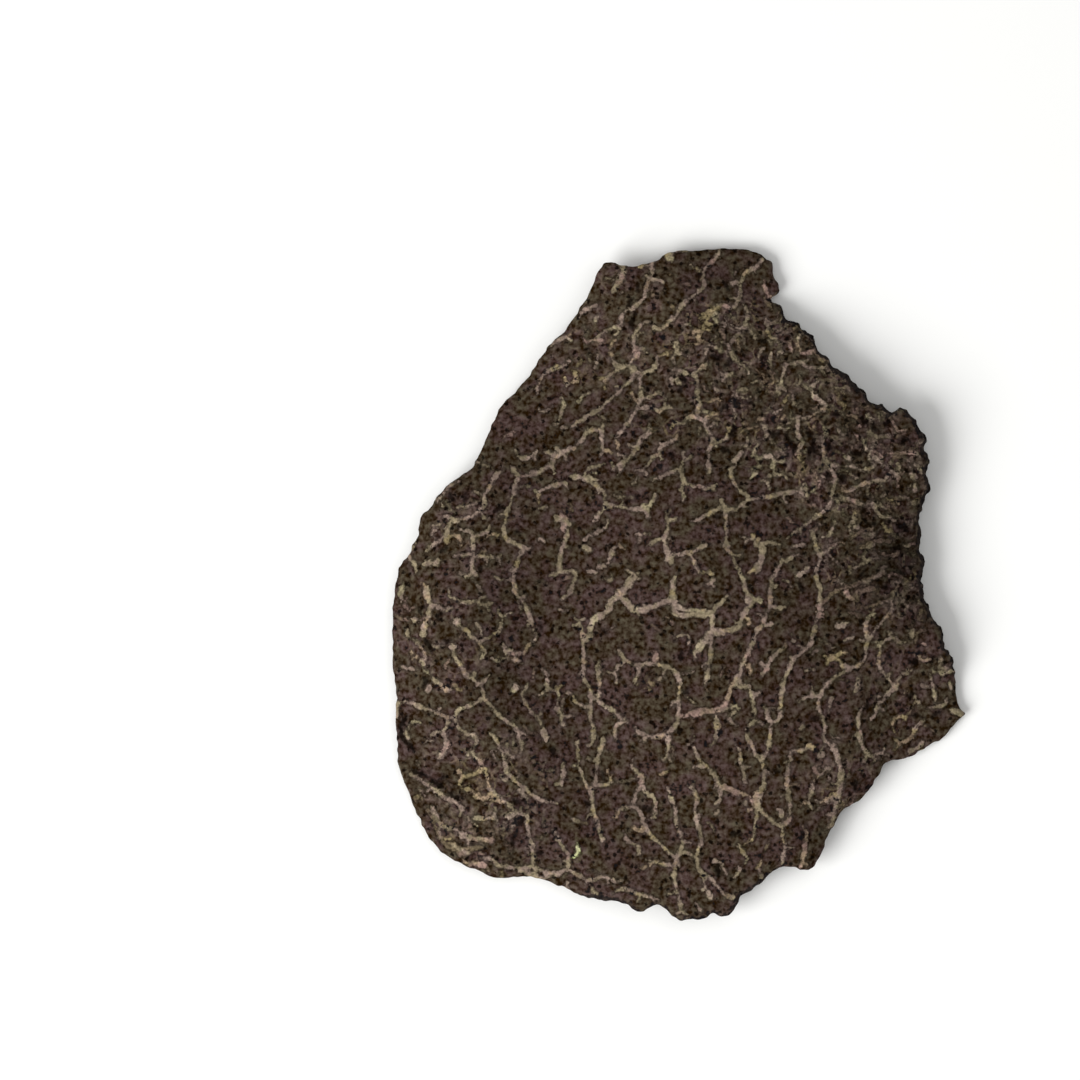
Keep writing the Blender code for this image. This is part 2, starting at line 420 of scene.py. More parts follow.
truffle = bpy.data.objects.new("truffle_slice_look", slice_mesh())
bpy.context.scene.collection.objects.link(truffle)
print("slice:", len(truffle.data.vertices), "points,", len(truffle.data.polygons), "faces")

# %% [markdown]
# The pale veins are what makes a truffle a truffle. Each is a thin wall of sterile tissue, cut
# across, so on the cut face it is a winding line 0.2 to 0.6 mm wide. No rule gives their paths, so
# the ones that can be told apart are drawn, region by region. A row is one vein or branch:
# its points in millimetres, after a width or a tint where it isn't the usual one. A row with one
# point is a small blot.

# %% Drawing of the veins, top
VEIN_WIDTH = 0.30

VEINS_TOP = """
0.5,23.4 -0.4,23.4 -0.65,23.05 -1.6,23 -1.9,22.5 -1.9,21.7 -2.25,20.9 -2.4,20.3 -2.75,19.7 -3.3,19.25
-3.3,19.25 -3.95,18.85 -4.1,18.35 -4.25,18 -4.8,17.85 -5.3,17.6 -5.7,17.25
0.7 cream -0.65,23.05
-1.9,21.3 -1.2,21.2
-2,22.25 -2.75,22.4 -3.4,22.5
0.6 yellow -2.75,22.4
-4.1,18.3 -4.3,17.6 -4.5,17.45
0.4 -4.4,22.8 -4.1,22.4 -3.85,22.1 -4,21.5 -4.4,20.85 -4.6,20.5
-5.6,19.7 -6.1,19.35 -6.7,19.1 -7,18.75
pink -6.5,16.9 -5.9,17.05 -5.3,17
-9,16.7 -8.4,17.1 -7.8,17.25
-9.9,13.4 -9.9,13.75 -9.75,14.25 -9.4,14.75 -9.15,14.9 -8.6,15.1 -7.9,15.35 -7.7,15.6
yellow -7.5,14.9 -7.2,14.5 -7.3,14.15 -7.7,14.1
-5.7,16 -5.85,15.1
-4.75,15.75 -4.4,15.3 -4.1,15.2 -3.6,15.3 -3.2,15.7 -2.95,16.2 -3.2,16.7 -3.1,17.5 -2.8,18 -2.5,18.3
0.5 pink -3.05,15.9 -2.95,16.2 -3.1,16.5
-4.1,15.2 -4.5,14.85 -4.8,14.6 -5.2,14.25
-3.3,15.1 -3.25,14.5 -3.6,14.1 -4.1,13.6 -4.6,13.1 -5.2,12.6 -5.5,12.3 -6.25,11.85 -6.9,11.45 \
-7.4,11.1 -7.8,10.9
-1.5,15.9 -1.7,15.3 -1.85,15 -2.3,14.8 -2.75,14.65 -2.75,14.25 -2.7,13.75 -2.7,13.2 -2.8,12.75 -3.2,11.85
-3.2,11.85 -3.4,11.5 -3.8,11.05 -4.2,10.5 -4.5,10.1
-3.2,15.1 -2.75,14.6
-2.7,13 -2.1,13.1 -1.5,13.4
-2.75,12.35 -1.9,12.3 -1.4,12.1 -1,12.35
2.8,23.5 2.75,23.1 2.4,22.7 2,22.25 1.7,21.9 1.7,21.3 1.75,20.9 1.4,20.5 1,20.2 0.4,19.7 0,19.2
0,19.2 -0.3,18.7 -0.8,18.3 -1.25,17.85 -1.7,17.9
pink -0.9,18.15 -1.25,17.85 -1.7,17.9
1.7,21.9 1.2,22.1 0.8,22.4
0.45 cream -0.2,16.8 -0.22,16.5
-0.2,16.8 -0.25,16.2 -0.5,15.7
-0.2,16.2 0.5,16
-0.5,15 0,14.9 0.5,14.7
0.5 -0.1,14.2
5.8,22.7 5.5,22.3 5.1,22.05 4.7,21.85 4.4,21.3 4.3,20.8 4.25,20.25 4,19.7 3.7,19.3 3,19.5 2.5,19.6
4.1,21.1 3.7,21.05
5.1,22.05 5.3,21.85
yellow 3,19.5 2.3,19.1 2.1,18.7 1.8,18.3 1.7,17.9 1.4,17.5 1.3,17.1
yellow 2.2,19.2 1.9,18.95 1.6,18.95
0.25 yellow 2.1,18.7 1.6,18.65 1.4,18.4
yellow 1.7,17.9 2.1,17.7
0.25 cream 2.5,18.95 2.4,18.6 2.6,18.4
0.25 yellow 1.9,18.3 2.2,18.15
0.25 yellow 1.5,17.7 1.1,17.7 0.95,17.5
pink 5.95,21.4 6,20.85 6.25,20.3 6.5,20.1 6.9,20.4
3.25,18.8 3.2,18.1
4.8,19.2 4.75,18.7 4.6,18.1 4.25,17.85
4.6,17.9 5,17.7 5.3,17.25
6.1,18.6 6.2,17.75 6.3,17.3 6.75,17.15
3.4,16.8 3.6,16.25 3.8,15.8 4.25,15.4 4.7,15.2
5.6,16.2 5.5,15.7
6.4,16.2 6.3,15.6 6.4,15.2
0.5,14.7 1,14.7 1.4,15 1.8,15.25
1,14.6 1.25,14.2 1.25,13.3 1.4,12.6 1.25,12.3 1.2,11.8
2.75,14.8 3.25,14.6 3.7,14.7
3.25,14.6 3.1,14.25
2.4,13.85 2.6,13.5
5,14.1 5.5,14.2
7.3,15.25 7.8,15.4 8.5,15.5 8.9,15.2 9.7,15.1 10.3,15.2
7.3,15.25 7.25,14.6 7.1,14 7.6,13.3
pink 7.6,17 7.75,16.6 7.8,16.2
pink 8.25,17.1 8.3,16.6 8.6,16.2 9.2,16.25 9.6,16.5
0.4 cream 9.2,13.6 9.3,13.2 9.75,12.8 10.1,12.6
3.75,13.25 3.6,12.7
"""
print("top:", VEINS_TOP.count("\n") - 1, "rows")

# %% Drawing of the veins, upper middle
VEINS_UPPER_MIDDLE = """
-8.1,12.6 -8.3,11.8 -8.4,11.4
-10.1,7.75 -9.6,8 -8.9,8.4 -8.8,8.8 -8.25,9.15 -7.7,9.4 -7.2,9.7 -6.75,10.1 -6.5,10.5 -6.1,10.75 \
-5.5,10.85
-5.5,10.85 -5.3,11.25
-5.5,10.8 -5.4,10.2 -5.4,9.7 -5.3,9.3
-8.6,9.5 -8.25,9.2
-9.4,9.3 -8.8,9.1
-8.9,8.4 -8.75,7.7
-10.1,7.75 -11.2,7.5 -11.5,6.7 -11.75,5.8 -12,5.2 -12.1,4.5 -12.25,3.75 -12.1,3.2 -11.4,2.85 -10.9,2.5
-10.9,2.5 -11.2,1.85 -11.4,1.25 -11.6,0.5 -11.5,-0.2 -11.4,-0.7 -10.9,-1.25 -10.6,-1.9 \
-10.3,-2.75 -9.95,-3.6
-11.2,7.5 -11.7,8.2
-10.9,2.5 -10.4,2.6
-7.5,7.5 -6.9,7.5 -6.5,7.3 -6,7 -5.4,6.6 -5.2,6.3 -5.2,5.6 -4.4,5.45 -3.6,5.3 -2.9,5.25 -2.4,5.3 -1.9,5.8
-1.9,5.8 -1.7,6.25
0.6 cream -2.4,5.3
-2.4,5.3 -2.2,4.7
-5.2,5.4 -5.7,4.8 -5.9,4.5
-6.5,7.35 -6.6,7.8 -6.25,8.1 -5.75,8.25 -5.25,8.4
-6.5,7.5 -5.75,7.3
-2,10.75 -2.3,10.4 -2.75,10.1 -2.9,9.6 -3.2,9.2 -3.6,8.75 -4,8.4 -4.5,8.25
-4,8.35 -4.3,7.6
-3.7,9.8 -3.2,9.6 -2.9,9.6
-0.25,10.1 -0.8,9.9 -1.3,9.7 -1.4,9.25 -1.8,8.9 -2.2,8.4 -2.5,8
0.5 -0.9,9.85 -1.3,9.7
-0.25,8 -0.8,7.75 -1.4,7.5 -1.9,7.25
0.4,8.8 0.1,8.3 0.1,7.7 0.3,7.2 0.1,6.7 0.3,6.3
0.3,7.1 1,6.9 1.75,6.75 2.2,6.85 2.5,7
0.5 -8.45,4.65 -8,4.4 -7.55,4.2
0.45 pink -8.25,4.8 -8,4.35 -8,3.9
-8.1,4.3 -7.85,3.7 -7.95,3.2 -8.2,2.6 -8.3,1.9 -8.4,1.25 -8.35,0.9
-8.35,0.9 -9,0.6
-8.35,0.9 -7.75,0.9 -7.3,0.85 -7.3,0.4 -7.4,0 -7.5,-0.25 -7.8,-0.75 -8.1,-0.9
-5.25,3.9 -5.9,3.6 -6.3,3.4 -6.6,3.1
0.4 -4.25,2.7 -4.7,2.4 -4.8,1.9 -5.1,1.4
-3.7,1 -3.3,0.8 -2.9,0.75
0.5 -3.4,0.35 -3.75,-0.25 -4.25,-0.75 -4.75,-1.1 -4.9,-1.6 -5.4,-2.1 -6,-2.5 -6.2,-3 -6.25,-3.6 -6.5,-3.8
-3,3.5 -2.1,3.5
-2.4,2.6 -1.8,3 -1.1,3.3 -0.85,3.85 -0.85,4.4 -1,5
-0.85,4.5 -0.3,4.6
-1.1,3.3 -0.4,3.1
-1.05,3.25 -1,2.6 -0.85,2 -0.6,1.6
0.7 cream -0.85,2
-0.85,2 -0.1,2.1 0.7,2.25 1.25,2.5 1.75,2.7
0.7,2.25 0.9,1.75 1.2,1.1 1.4,0.85 2.1,0.85 2.3,0.4 2.2,0.1
0.6 -6.5,2.5
-6.4,1 -5.9,0.85
-9.75,6.4 -9.25,6.75 -8.6,7 -8,7.1
-9.3,5.4 -9.9,5.3
0.5 -9.6,3.1
"""
print("upper middle:", VEINS_UPPER_MIDDLE.count("\n") - 1, "rows")

# %% Drawing of the veins, upper right
VEINS_UPPER_RIGHT = """
0.7,4.4 1.3,4.5 1.9,4.9 2.5,5.2 3.1,5.4 3.4,5.2 4,5.25 4.3,5.6 4.8,5.9 5.5,6.05 6.3,6.1 6.9,6.3 7.6,6.4
7.6,6.4 8.25,6.55 8.7,6.75
0.5 8.7,6.75
3.1,5.4 2.9,5.8
8.25,6.5 8.8,6.2
4.8,6.1 4.2,6.6 3.8,7 3.6,7.5 3.55,8 3.8,8.2
3.8,8.6 4.1,8.9 4.3,9.2
3.15,5.2 3.2,4.2 3.2,3.2 3.15,2.6 3.6,2.1 3.8,1.5 4.2,0.8 4.4,0.2 4.6,-0.5 4.75,-0.9
0.6 3.2,2.9 3.15,2.6
2.25,11.9 1.8,11.4 1.9,10.8 2.2,10.3 2.3,9.9 2,9.3 2,8.75 2,8.1
0.6 2,8.1
2.3,9.9 2.8,10 3.3,10.25
-0.4,11.2 0.2,11.25 0.4,11.5 1,11.7 1.75,11.4
3.7,11.4 3.9,11.8 3.7,12.3
5.2,8.9 5.2,9.4 5.5,9.8
0.4 cream 5.5,8.7 5.8,8.9 6.3,8.9 6.6,8.6
0.4 cream 4.9,7.3 5.2,7.7 5.4,7.9
6,7.25 6.3,7.6 7.2,7.7
9.9,12.3 9.3,11.8 8.7,11.6 8.2,11.7 7.5,11.2
8.2,11.65 8.2,11 8.25,10.5 8.5,10 8.4,9.6 8.2,9.2
0.5 pink 8.45,9.8 8.4,9.6 8.2,9.2
10.2,10.6 10,10 10,9.3 10.1,8.75 10.3,8.3 10.7,7.8 10.8,7.3 10.75,6.75 10.6,6.3 10.5,5.8 10.3,5.3
10.3,5.3 9.7,4.9 9.25,4.5 8.8,4.2 8.25,3.8 7.8,3.5 7.5,3.2
10.3,8.3 11.25,8.25
0.4 cream 11,10.8 11.25,10.4 11.6,10.5
4.7,3.1 5.2,3.2 5.3,2.75 5.9,2.85 6.5,2.9 7,2.7
0.6 yellow 5.2,3.2
0.5 5.7,2.7 5.7,2 5.5,1.4 5.3,1
8,2.1 7.5,1.75 7.1,1.6 6.75,1 6.4,0.4 6.3,-0.2 6.25,-0.8 6.3,-1.3 6.1,-1.9 5.8,-2.5 5.7,-2.8 5.3,-3.25
5.3,-3.25 5.1,-3.9 4.7,-4.75 4.3,-5.6 4.1,-6.3 3.8,-6.7
0.36 pink 3.8,-6.7 3.5,-7.25 3.3,-8 3,-8.5 2.6,-8.75
6.3,-1.4 6.8,-1.6 7.2,-1.6 7.5,-1.3
5.7,-2.8 6.3,-2.7
4.1,-6.4 4.25,-6.9
3.7,-7 4.25,-7.1 4.75,-7.1 5,-7.7 5.1,-8.3 5.2,-9 5.2,-9.4
5,-7.7 5.5,-7.6
7.75,2.6 8.6,2.8
9.2,3.7 9.4,2.9 9.7,2.25 10.25,2.3 10.8,2.8 11.1,3
9.7,2.2 9.75,1.6 9.5,1.1 9.5,0.4 9.75,-0.2 9.75,-1 9.75,-1.8 9.5,-2.6 9.3,-3.4 9.1,-4.2 8.6,-4.6 8,-5
0.5 pink 9.75,-1.5 9.75,-1.8 9.65,-2.2
8,-5 7.8,-5.4 7.5,-6.1 7.2,-6.75 7.1,-7.5 7,-8.3 7,-9 6.8,-9.5 6.4,-9.7 6.3,-10.4 6.2,-11.2
6.2,-11.2 6.1,-11.75 5.8,-12.1
7.8,-5.1 7.6,-4.9
6.4,-9.7 6.1,-9.2 6.1,-8.7
10.8,4.3 10.6,3.8 10.25,3.25
8.9,1.2 8.5,0.8 8.1,0.6
"""
print("upper right:", VEINS_UPPER_RIGHT.count("\n") - 1, "rows")

# %% Drawing of the veins, centre
VEINS_CENTRE = """
0.5 -4.3,-0.75 -4.1,-0.85 -3.7,-1.2 -3.3,-1.7 -2.7,-1.75 -2.2,-1.6 -1.6,-1.45 -1,-1.2 -0.45,-1.1
0.38 -0.45,-1.1 -0.55,-0.6 -0.5,-0.2 -0.55,0.15
0.5 -0.45,-1.1 -0.4,-1.6 -0.3,-2.05 0.2,-2.15 0.8,-2.05 1.5,-2 2.2,-1.95
cream -0.2,-1.5 0.4,-1.75 1.3,-1.8 2.2,-1.95
2.2,-2 2.5,-1.6 2.9,-1.2 3.25,-0.8
2.25,-2.1 2.2,-2.8 2.2,-3.25
0.62 cream 2.1,-3.4 1.7,-3.9 1.3,-4.45 1,-4.8
2.15,-3.4 2.15,-4.7 2,-5.8 1.7,-7.1
0.45 2.2,-3.25 2.8,-3.3 3.7,-3.1 4.1,-2.9 4.25,-2.4 4.6,-1.8 5,-1.25 4.75,-0.9
5,-1.25 5.4,-0.9
-7,-2.5 -7,-2.85 -6.75,-3.5 -6.7,-4.3 -6.7,-5.2 -6.7,-6 -6.6,-6.7 -6.25,-7.3 -6.2,-8 -6.2,-8.75
-6.2,-8.75 -6.2,-9.4 -6,-10 -6.1,-11
-7.4,-2.85 -7,-2.85
-5.6,-5.3 -5.7,-6 -5.6,-6.8 -5.6,-7.5 -5.7,-7.9 -6.1,-7.9
-5.7,-8 -5.25,-8.5 -4.8,-8.7 -4.4,-8.9 -4.1,-9.4 -3.6,-9.6
-4,-9.6 -4.4,-9.9 -4.5,-10.4 -4.5,-10.8
-6.25,-8.5 -6.75,-8.5 -7.2,-8.2 -7.4,-7.8
-4.2,-4.7 -3.8,-5.25 -3.2,-5.6 -2.3,-5.5 -1.5,-5.6 -0.8,-5.75 -0.25,-6.2 0,-6.8 -0.1,-7.7 \
-0.1,-8.5 -0.1,-9.1
-0.1,-9.1 -0.2,-9.6 -0.7,-10.25 -1.4,-10.6 -2.25,-10.5 -2.9,-10.25 -3.1,-10
-3.8,-5.3 -4.25,-5.7 -4.5,-6.1
0.36 pink -0.1,-9.1 0.4,-9.1 1.3,-8.75 2.2,-8.7 2.7,-8.75
2.7,-8.75 3.3,-8.7 3.7,-8.45
0.4 pink -1.7,-5.5 -1.7,-4.7
-2.9,-5.6 -2.9,-6.2 -3.1,-6.7 -3.3,-7.1
-0.8,-10.6 -0.8,-11.3 -0.9,-12
-2.4,-10.5 -2.4,-10.9
-8.6,-8.6 -8.25,-9.1 -8.3,-9.6
-8.2,-9.25 -7.3,-9.2
-9.2,-6.3 -9.2,-7.2 -8.6,-7.4
-9.2,-7.25 -9.75,-7.7
-11,-7.6 -10.9,-8 -10.6,-8.5 -10.25,-9 -9.8,-9.4 -9.4,-10.25 -9.2,-10.9
0.45 -9.5,-10.3 -9.3,-10.8
0.7 cream -11.5,-7.25
-7.1,-11.1 -7.1,-11.9 -7,-12.5
-5.3,-10.7 -5.5,-11.4 -5.7,-12.3 -5.8,-13.2 -5.9,-13.9
"""
print("centre:", VEINS_CENTRE.count("\n") - 1, "rows")

# %% Drawing of the veins, lower right
VEINS_LOWER_RIGHT = """
7.25,-4.4 6.75,-4.75 6.25,-5.3 6,-5.9 5.7,-6.3
0.34 yellow 10.4,-5.15 10.9,-5.1 11.45,-5.7
0.34 yellow 10.95,-5.05 11.2,-4.8 11.65,-4.7
12.25,-5.75 11.2,-6.2 10.5,-6.7 10,-7.3 9.75,-7.9 9.7,-8.8 10,-9.3 10.1,-10 10.1,-10.8 10.6,-11.2
0.4 10.6,-11.2 10.9,-11.7 11.25,-12.9 11.2,-14.2 11,-15.2 10.8,-16 10.7,-16.75
0.34 yellow 9.9,-15.2 10.3,-14.95 10.9,-14.6
0.3 10.3,-15.15 10.8,-14.9
0.42 cream 19.2,-8.85 19.55,-9 19.8,-9.05
9.7,-7.75 9.25,-7.75 9.2,-7.2
9.25,-7.8 8.6,-7.9 8.2,-8.2
8.8,-6 9.3,-5.9
0.5 8.5,-9.9
4.6,-10 4.75,-10.7 5.1,-11.4 5.4,-12 5.7,-12.4 5.8,-12.75 5.9,-13.6 5.75,-14.2 5.5,-15 5.4,-15.75
0.5 5.75,-14.2 5.5,-15 5.4,-15.75
5.4,-15.75 5.3,-16.7 5.1,-17.7
0.4 2.5,-9.2 2.6,-9.8 2.5,-10.8
9.1,-11.4 8.25,-11.6 7.8,-11.6 7.7,-12.4 7.6,-12.7 7.5,-13.75 7.6,-14.8 7.7,-15.8 7.6,-16.5 7.1,-16.7
0.6 yellow 9.1,-11.4
1,-11.3 1.25,-12 1.6,-12.4 2,-12.8 2.4,-13.25 2.7,-13.75 2.9,-14.2
pink 2.9,-14.2 3.6,-14.3 4.25,-14.5 4.8,-14.75 5.2,-15.2 5.5,-15.6
5.5,-15.6 6.2,-16.25 6.7,-16.7 7.1,-17 7.2,-17.7 7.4,-18.3 7.25,-19 7.2,-19.6
2.8,-14.2 2.8,-15 2.5,-15.3
1,-12.7 1.6,-12.6
3.9,-11.1 4.2,-11.7 4.25,-12.4 4.4,-12.9 4.6,-13.75
10.1,-12.9 9.7,-13.4 9.25,-13.9 9.2,-14.5 9,-15.1
0.5 9.25,-14.1 9.2,-14.5
pink 8.9,-17.3 8.8,-18.2 8.7,-19 8.5,-19.7
4.1,-18.2 4.3,-18.5 4.75,-19.1
2.9,-19.4 3.2,-20 3.4,-20.5
4.2,-19.8 3.9,-20.4
5.5,-19.75 5.7,-20.25 5.75,-20.9
0.9,-14.25 1.2,-14.9 1.1,-15.75 1.2,-16.5 1.4,-17.25 1.5,-17.9 1.3,-18.5 1.1,-18.9 0.5,-18.7 0,-18.7
1.2,-19 1.3,-19.7 1.6,-20.25 1.8,-21
1.7,-20.2 2.25,-20.6 2.8,-21.25 3.3,-21.7 3.75,-21.9
0.4 cream 2,-21.5 2.2,-21.9
1.1,-22.25 1.6,-22.8
2.7,-15.8 2.5,-16.1
"""
print("lower right:", VEINS_LOWER_RIGHT.count("\n") - 1, "rows")

# %% Drawing of the veins, bottom
VEINS_BOTTOM = """
-3.3,-12.2 -3.3,-12.7 -3,-13.1 -2.6,-13.5 -2.7,-14.1 -3,-14.5 -3.2,-15.4 -2.75,-15.8 -2.5,-16.6 \
-2.25,-17.2
0.45 pink -2.8,-13.3 -2.6,-13.5 -2.7,-14
-2.25,-17.2 -1.8,-17.7 -1.25,-18.2 -0.7,-18.75 -0.25,-19 0,-18.75
-3.2,-15.5 -3.75,-15.6 -4.25,-15.75
0.3 -2.6,-14.1 -2.25,-14.6 -1.75,-14.9 -1.7,-15.4 -1.7,-16.2
0.45 pink 2.9,-14.1 3.5,-14.25 4.1,-14.5
0.44 pink 0.9,-8.95 1.6,-8.85 2.3,-8.8
0.6 cream 4.75,-1.1 5.05,-1.05 5.4,-0.95
0.5 pink 5.4,-14.7 5.35,-15.2
0.45 yellow -2.3,-17.1 -2.75,-17.1 -3.2,-17
-0.8,-14.25 -0.6,-14.9 -0.3,-15.75 -0.2,-16.7 0.1,-17.5 0.2,-18.25 0,-18.75
-0.25,-19 -0.3,-19.6 -0.4,-20.25 -0.25,-21.1 0,-21.9 0.1,-22.8
-0.3,-19.6 -1.1,-19.5 -1.8,-19.3 -2.3,-19.2
-3.75,-17.8 -3.3,-18.1 -2.9,-18.3 -2.8,-18.75
0.5 -2.9,-18.3 -2.8,-18.75
-6.9,-12.9 -6.7,-13.6 -6.25,-14.2 -5.7,-14 -5.25,-14 -4.75,-13.8
-6.2,-14.25 -6.1,-15 -6,-15.8 -5.7,-16.7 -5.4,-17.75
-8.1,-12.5 -8.1,-13.3 -8.25,-13.9
-8.8,-17.2 -8.6,-17.5 -8.25,-18.2 -7.8,-18.8 -7.7,-19.4 -7.8,-19.9
pink -7.8,-18.8 -7.7,-19.4
-7.8,-19.9 -8.4,-20.2 -9.2,-20.25 -9.75,-20 -10.25,-19.8
-7.8,-19.9 -7.3,-20.2 -6.75,-20.5 -6.1,-20.7 -5.5,-20.4 -4.9,-20.5 -4.4,-20.8
-10.25,-20.3 -9.7,-20.6 -9,-20.4 -8.4,-20.2
0.34 fleck -7.12,-18.1 -7.08,-18.4 -7.1,-18.7 -7.2,-18.95 -7.38,-19.05
-4.6,-21.6 -4,-21.25 -3.2,-21.5 -2.3,-21.75 -1.5,-22.1
-7.9,-21.25 -7.4,-21.75 -6.75,-22
0.5 -7.25,-16.5
"""
print("bottom:", VEINS_BOTTOM.count("\n") - 1, "rows")

# %% Drawing of the veins, lower left
VEINS_LOWER_LEFT = """
0.3 cleft -19,-9.2 -19.5,-9.9 -19.3,-10.75 -18.6,-11.6
0.26 cleft -18.6,-13.1 -18,-13.3 -17.6,-13.5
0.32 cleft -17.25,-13.75 -16.95,-13.9 -16.7,-14.15
0.3 cleft -16,-14.65 -15.5,-15.1
dim -17.8,-15.6 -17.25,-16.4 -16.9,-17.4 -16.2,-18.3 -15.2,-18.9
dim -16,-18.1 -15,-18.5 -13.7,-18.4
-13.25,-10.3 -12.8,-10.9 -12.4,-11.7 -12.2,-12.4 -12.1,-13 -11.75,-13.4 -11.4,-13.8 -10.8,-14.25
-10.8,-14.25 -10.25,-14.7 -9.6,-15.1 -8.8,-15.2 -8.5,-15.25
yellow -15.35,-13.9 -15.1,-13.45 -14.5,-13.3 -14,-13.05 -13.75,-12.75
yellow -15.4,-13.1 -15.1,-13.45
0.4 pink -13.95,-12.3 -13.75,-12.6
yellow -13.65,-12.9 -13.45,-13.4 -13.35,-14 -13.2,-14.5 -13.3,-14.85
0.34 yellow -15.2,-14.25 -14.7,-14.35 -14.2,-14.8 -13.6,-14.95 -12.9,-14.95 -12.4,-15.15
yellow -14.2,-14.8 -13.8,-14.4
-13.3,-14.3 -12.7,-14.75 -12.1,-15.2 -11.6,-15.7 -11,-16 -10.6,-16.2 -10.6,-16.8 -10.5,-17.5 -10.3,-18.2
-10.3,-18.2 -10.2,-19 -10.25,-19.6
0.7 cream -11.7,-16.1
cream -14.4,-16.6 -14.25,-16.3 -13.5,-16.4 -12.8,-16.3 -12.7,-16.7
-18.75,-13.3 -18.1,-13.75 -17.3,-14.25 -16.7,-14.7 -16,-15.1 -15.4,-15.4 -15.2,-15.8
0.4 -17.3,-15.7 -17,-16.25 -16.7,-16.8 -16,-17.1 -15.5,-17.2 -15,-17.6 -14.4,-17.8 -13.9,-17.8
0.4 pink -13.9,-17.8 -13.2,-17.9
-16.8,-17.2 -16.75,-17.7
-15.8,-18.25 -15.2,-18.6 -14.75,-18.8
0.4 pink -14.8,-19.6 -14.2,-19.5 -13.5,-19.7
-13.9,-19.2 -13.1,-19.2 -12.7,-19.6 -12,-19.8 -11.2,-19.9 -10.25,-19.75
-11.2,-19.9 -10.3,-20.4
"""
print("lower left:", VEINS_LOWER_LEFT.count("\n") - 1, "rows")

# %% Drawing of the veins, left
VEINS_LEFT = """
0.4 -17.7,-0.2 -17.6,-0.8 -17.4,-1.4 -17.5,-2.1 -17.75,-2.75 -17.9,-3.5
-17.4,-1.4 -16.75,-1.6 -16.3,-1.8
-16,-0.8 -15.5,-1.1 -14.9,-1.25 -14.2,-1.2 -13.7,-1.4 -13,-1.3
-13.5,-1.4 -13.3,-1.8
0.6 cream -15.6,-2.6
-15.6,-2.6 -15.25,-3 -14.8,-3.25 -14.4,-3.7 -14,-4 -13.75,-4.4 -13.6,-4.75
-14,-4 -13.5,-3.75 -13,-3.5 -12.5,-3.2 -12.4,-2.6 -12.3,-2.25
-18.9,-3.75 -18.5,-3.9 -18.2,-4.2 -17.8,-4.7 -17.8,-5.2 -17.9,-5.8
0.6 -15.8,-4.3
-15.8,-4.3 -15.7,-5 -15.3,-5.6 -14.9,-6.2 -14.4,-6.6 -13.9,-6.9 -13.7,-7.5 -13.5,-8.1 -13.1,-8.5 \
-12.6,-9.1
-12.6,-9.1 -12,-9.6 -11.4,-10 -11.2,-10.6 -11,-11.25 -11.1,-11.75
-14.4,-6.6 -14.3,-6.2
-13.75,-6.8 -13.25,-6.3
-13.7,-7.9 -14.2,-8.25 -14.8,-8.5 -15.4,-8.75 -15.7,-9.25 -16.1,-9.3 -16.7,-9.1 -17.4,-8.8 -18.25,-8.5
-18.25,-8.5 -19.2,-8.2
-16.1,-9.4 -16.25,-10 -16.7,-10.3 -17,-10.3
-16.5,-10.4 -16.3,-11 -16.35,-11.5 -16.8,-12.2
0.45 pink -16.55,-11.75 -16.3,-11.4 -16.1,-11.15
0.35 cream -16.75,-11.95 -16.5,-11.75
-15.7,-9.4 -15.3,-10.1 -14.8,-10.4 -14.25,-10.6 -14.2,-11.1 -14.4,-11.7
-12.4,-3.9 -12.2,-4.4 -11.8,-4.75 -11.3,-4.8 -10.8,-4.75
0.6 cream -12,-4.6
-12.6,-5.3 -12.2,-5.1 -11.5,-5.2 -11,-5.5
-17.3,-6.5 -16.9,-6.8 -16.5,-7.2 -16.1,-7.3
0.5 -17.5,-7.2
-19.4,-5.7 -18.9,-5.9 -18.25,-5.9
-19.7,-8.3 -19.75,-9.2
-18.8,-9.75 -19.1,-10.3 -19,-10.75
0.5 -18.5,-2.5
0.45 cream -19.3,0.1 -19.45,-0.5 -19.5,-1.2
-12.8,7.7 -13.25,6.8 -13.6,6.3 -13.6,5.6 -13.9,5.2 -14.5,4.75 -15.2,4.6 -15.75,4.5 -16.1,4.1 -16.3,3.5
0.5 -15.75,4.5
-16.3,3.5 -16.8,3 -17.3,2.7 -17.9,2.1
-15.9,4.6 -16.4,4.8
-17.2,4.1 -16.5,4.25
-16.7,6.1 -16.3,6.6 -15.9,7 -15.4,7.2
-14.6,3.7 -14.3,3.4 -13.8,3.5 -13.4,3.75 -13.2,4.1
-14.4,3.4 -14.4,2.7 -14.2,2.1 -13.5,1.9 -12.75,1.85
-14.2,2.1 -15,2.1 -15.7,2
-14.4,1.9 -14.5,1.25 -14.5,0.85 -14.9,0.6
-14.4,0.85 -14.1,0.6
0.5 -16.9,1.6
0.5 -17.6,1.5
0.5 -12.7,0.4
-12.2,0.25 -11.7,0.35
-11.4,9.2 -11,8.85 -10.25,8.9
-18.4,2.9 -18.9,2.25 -18.75,1.7 -18.4,1.25
"""
print("left:", VEINS_LEFT.count("\n") - 1, "rows")

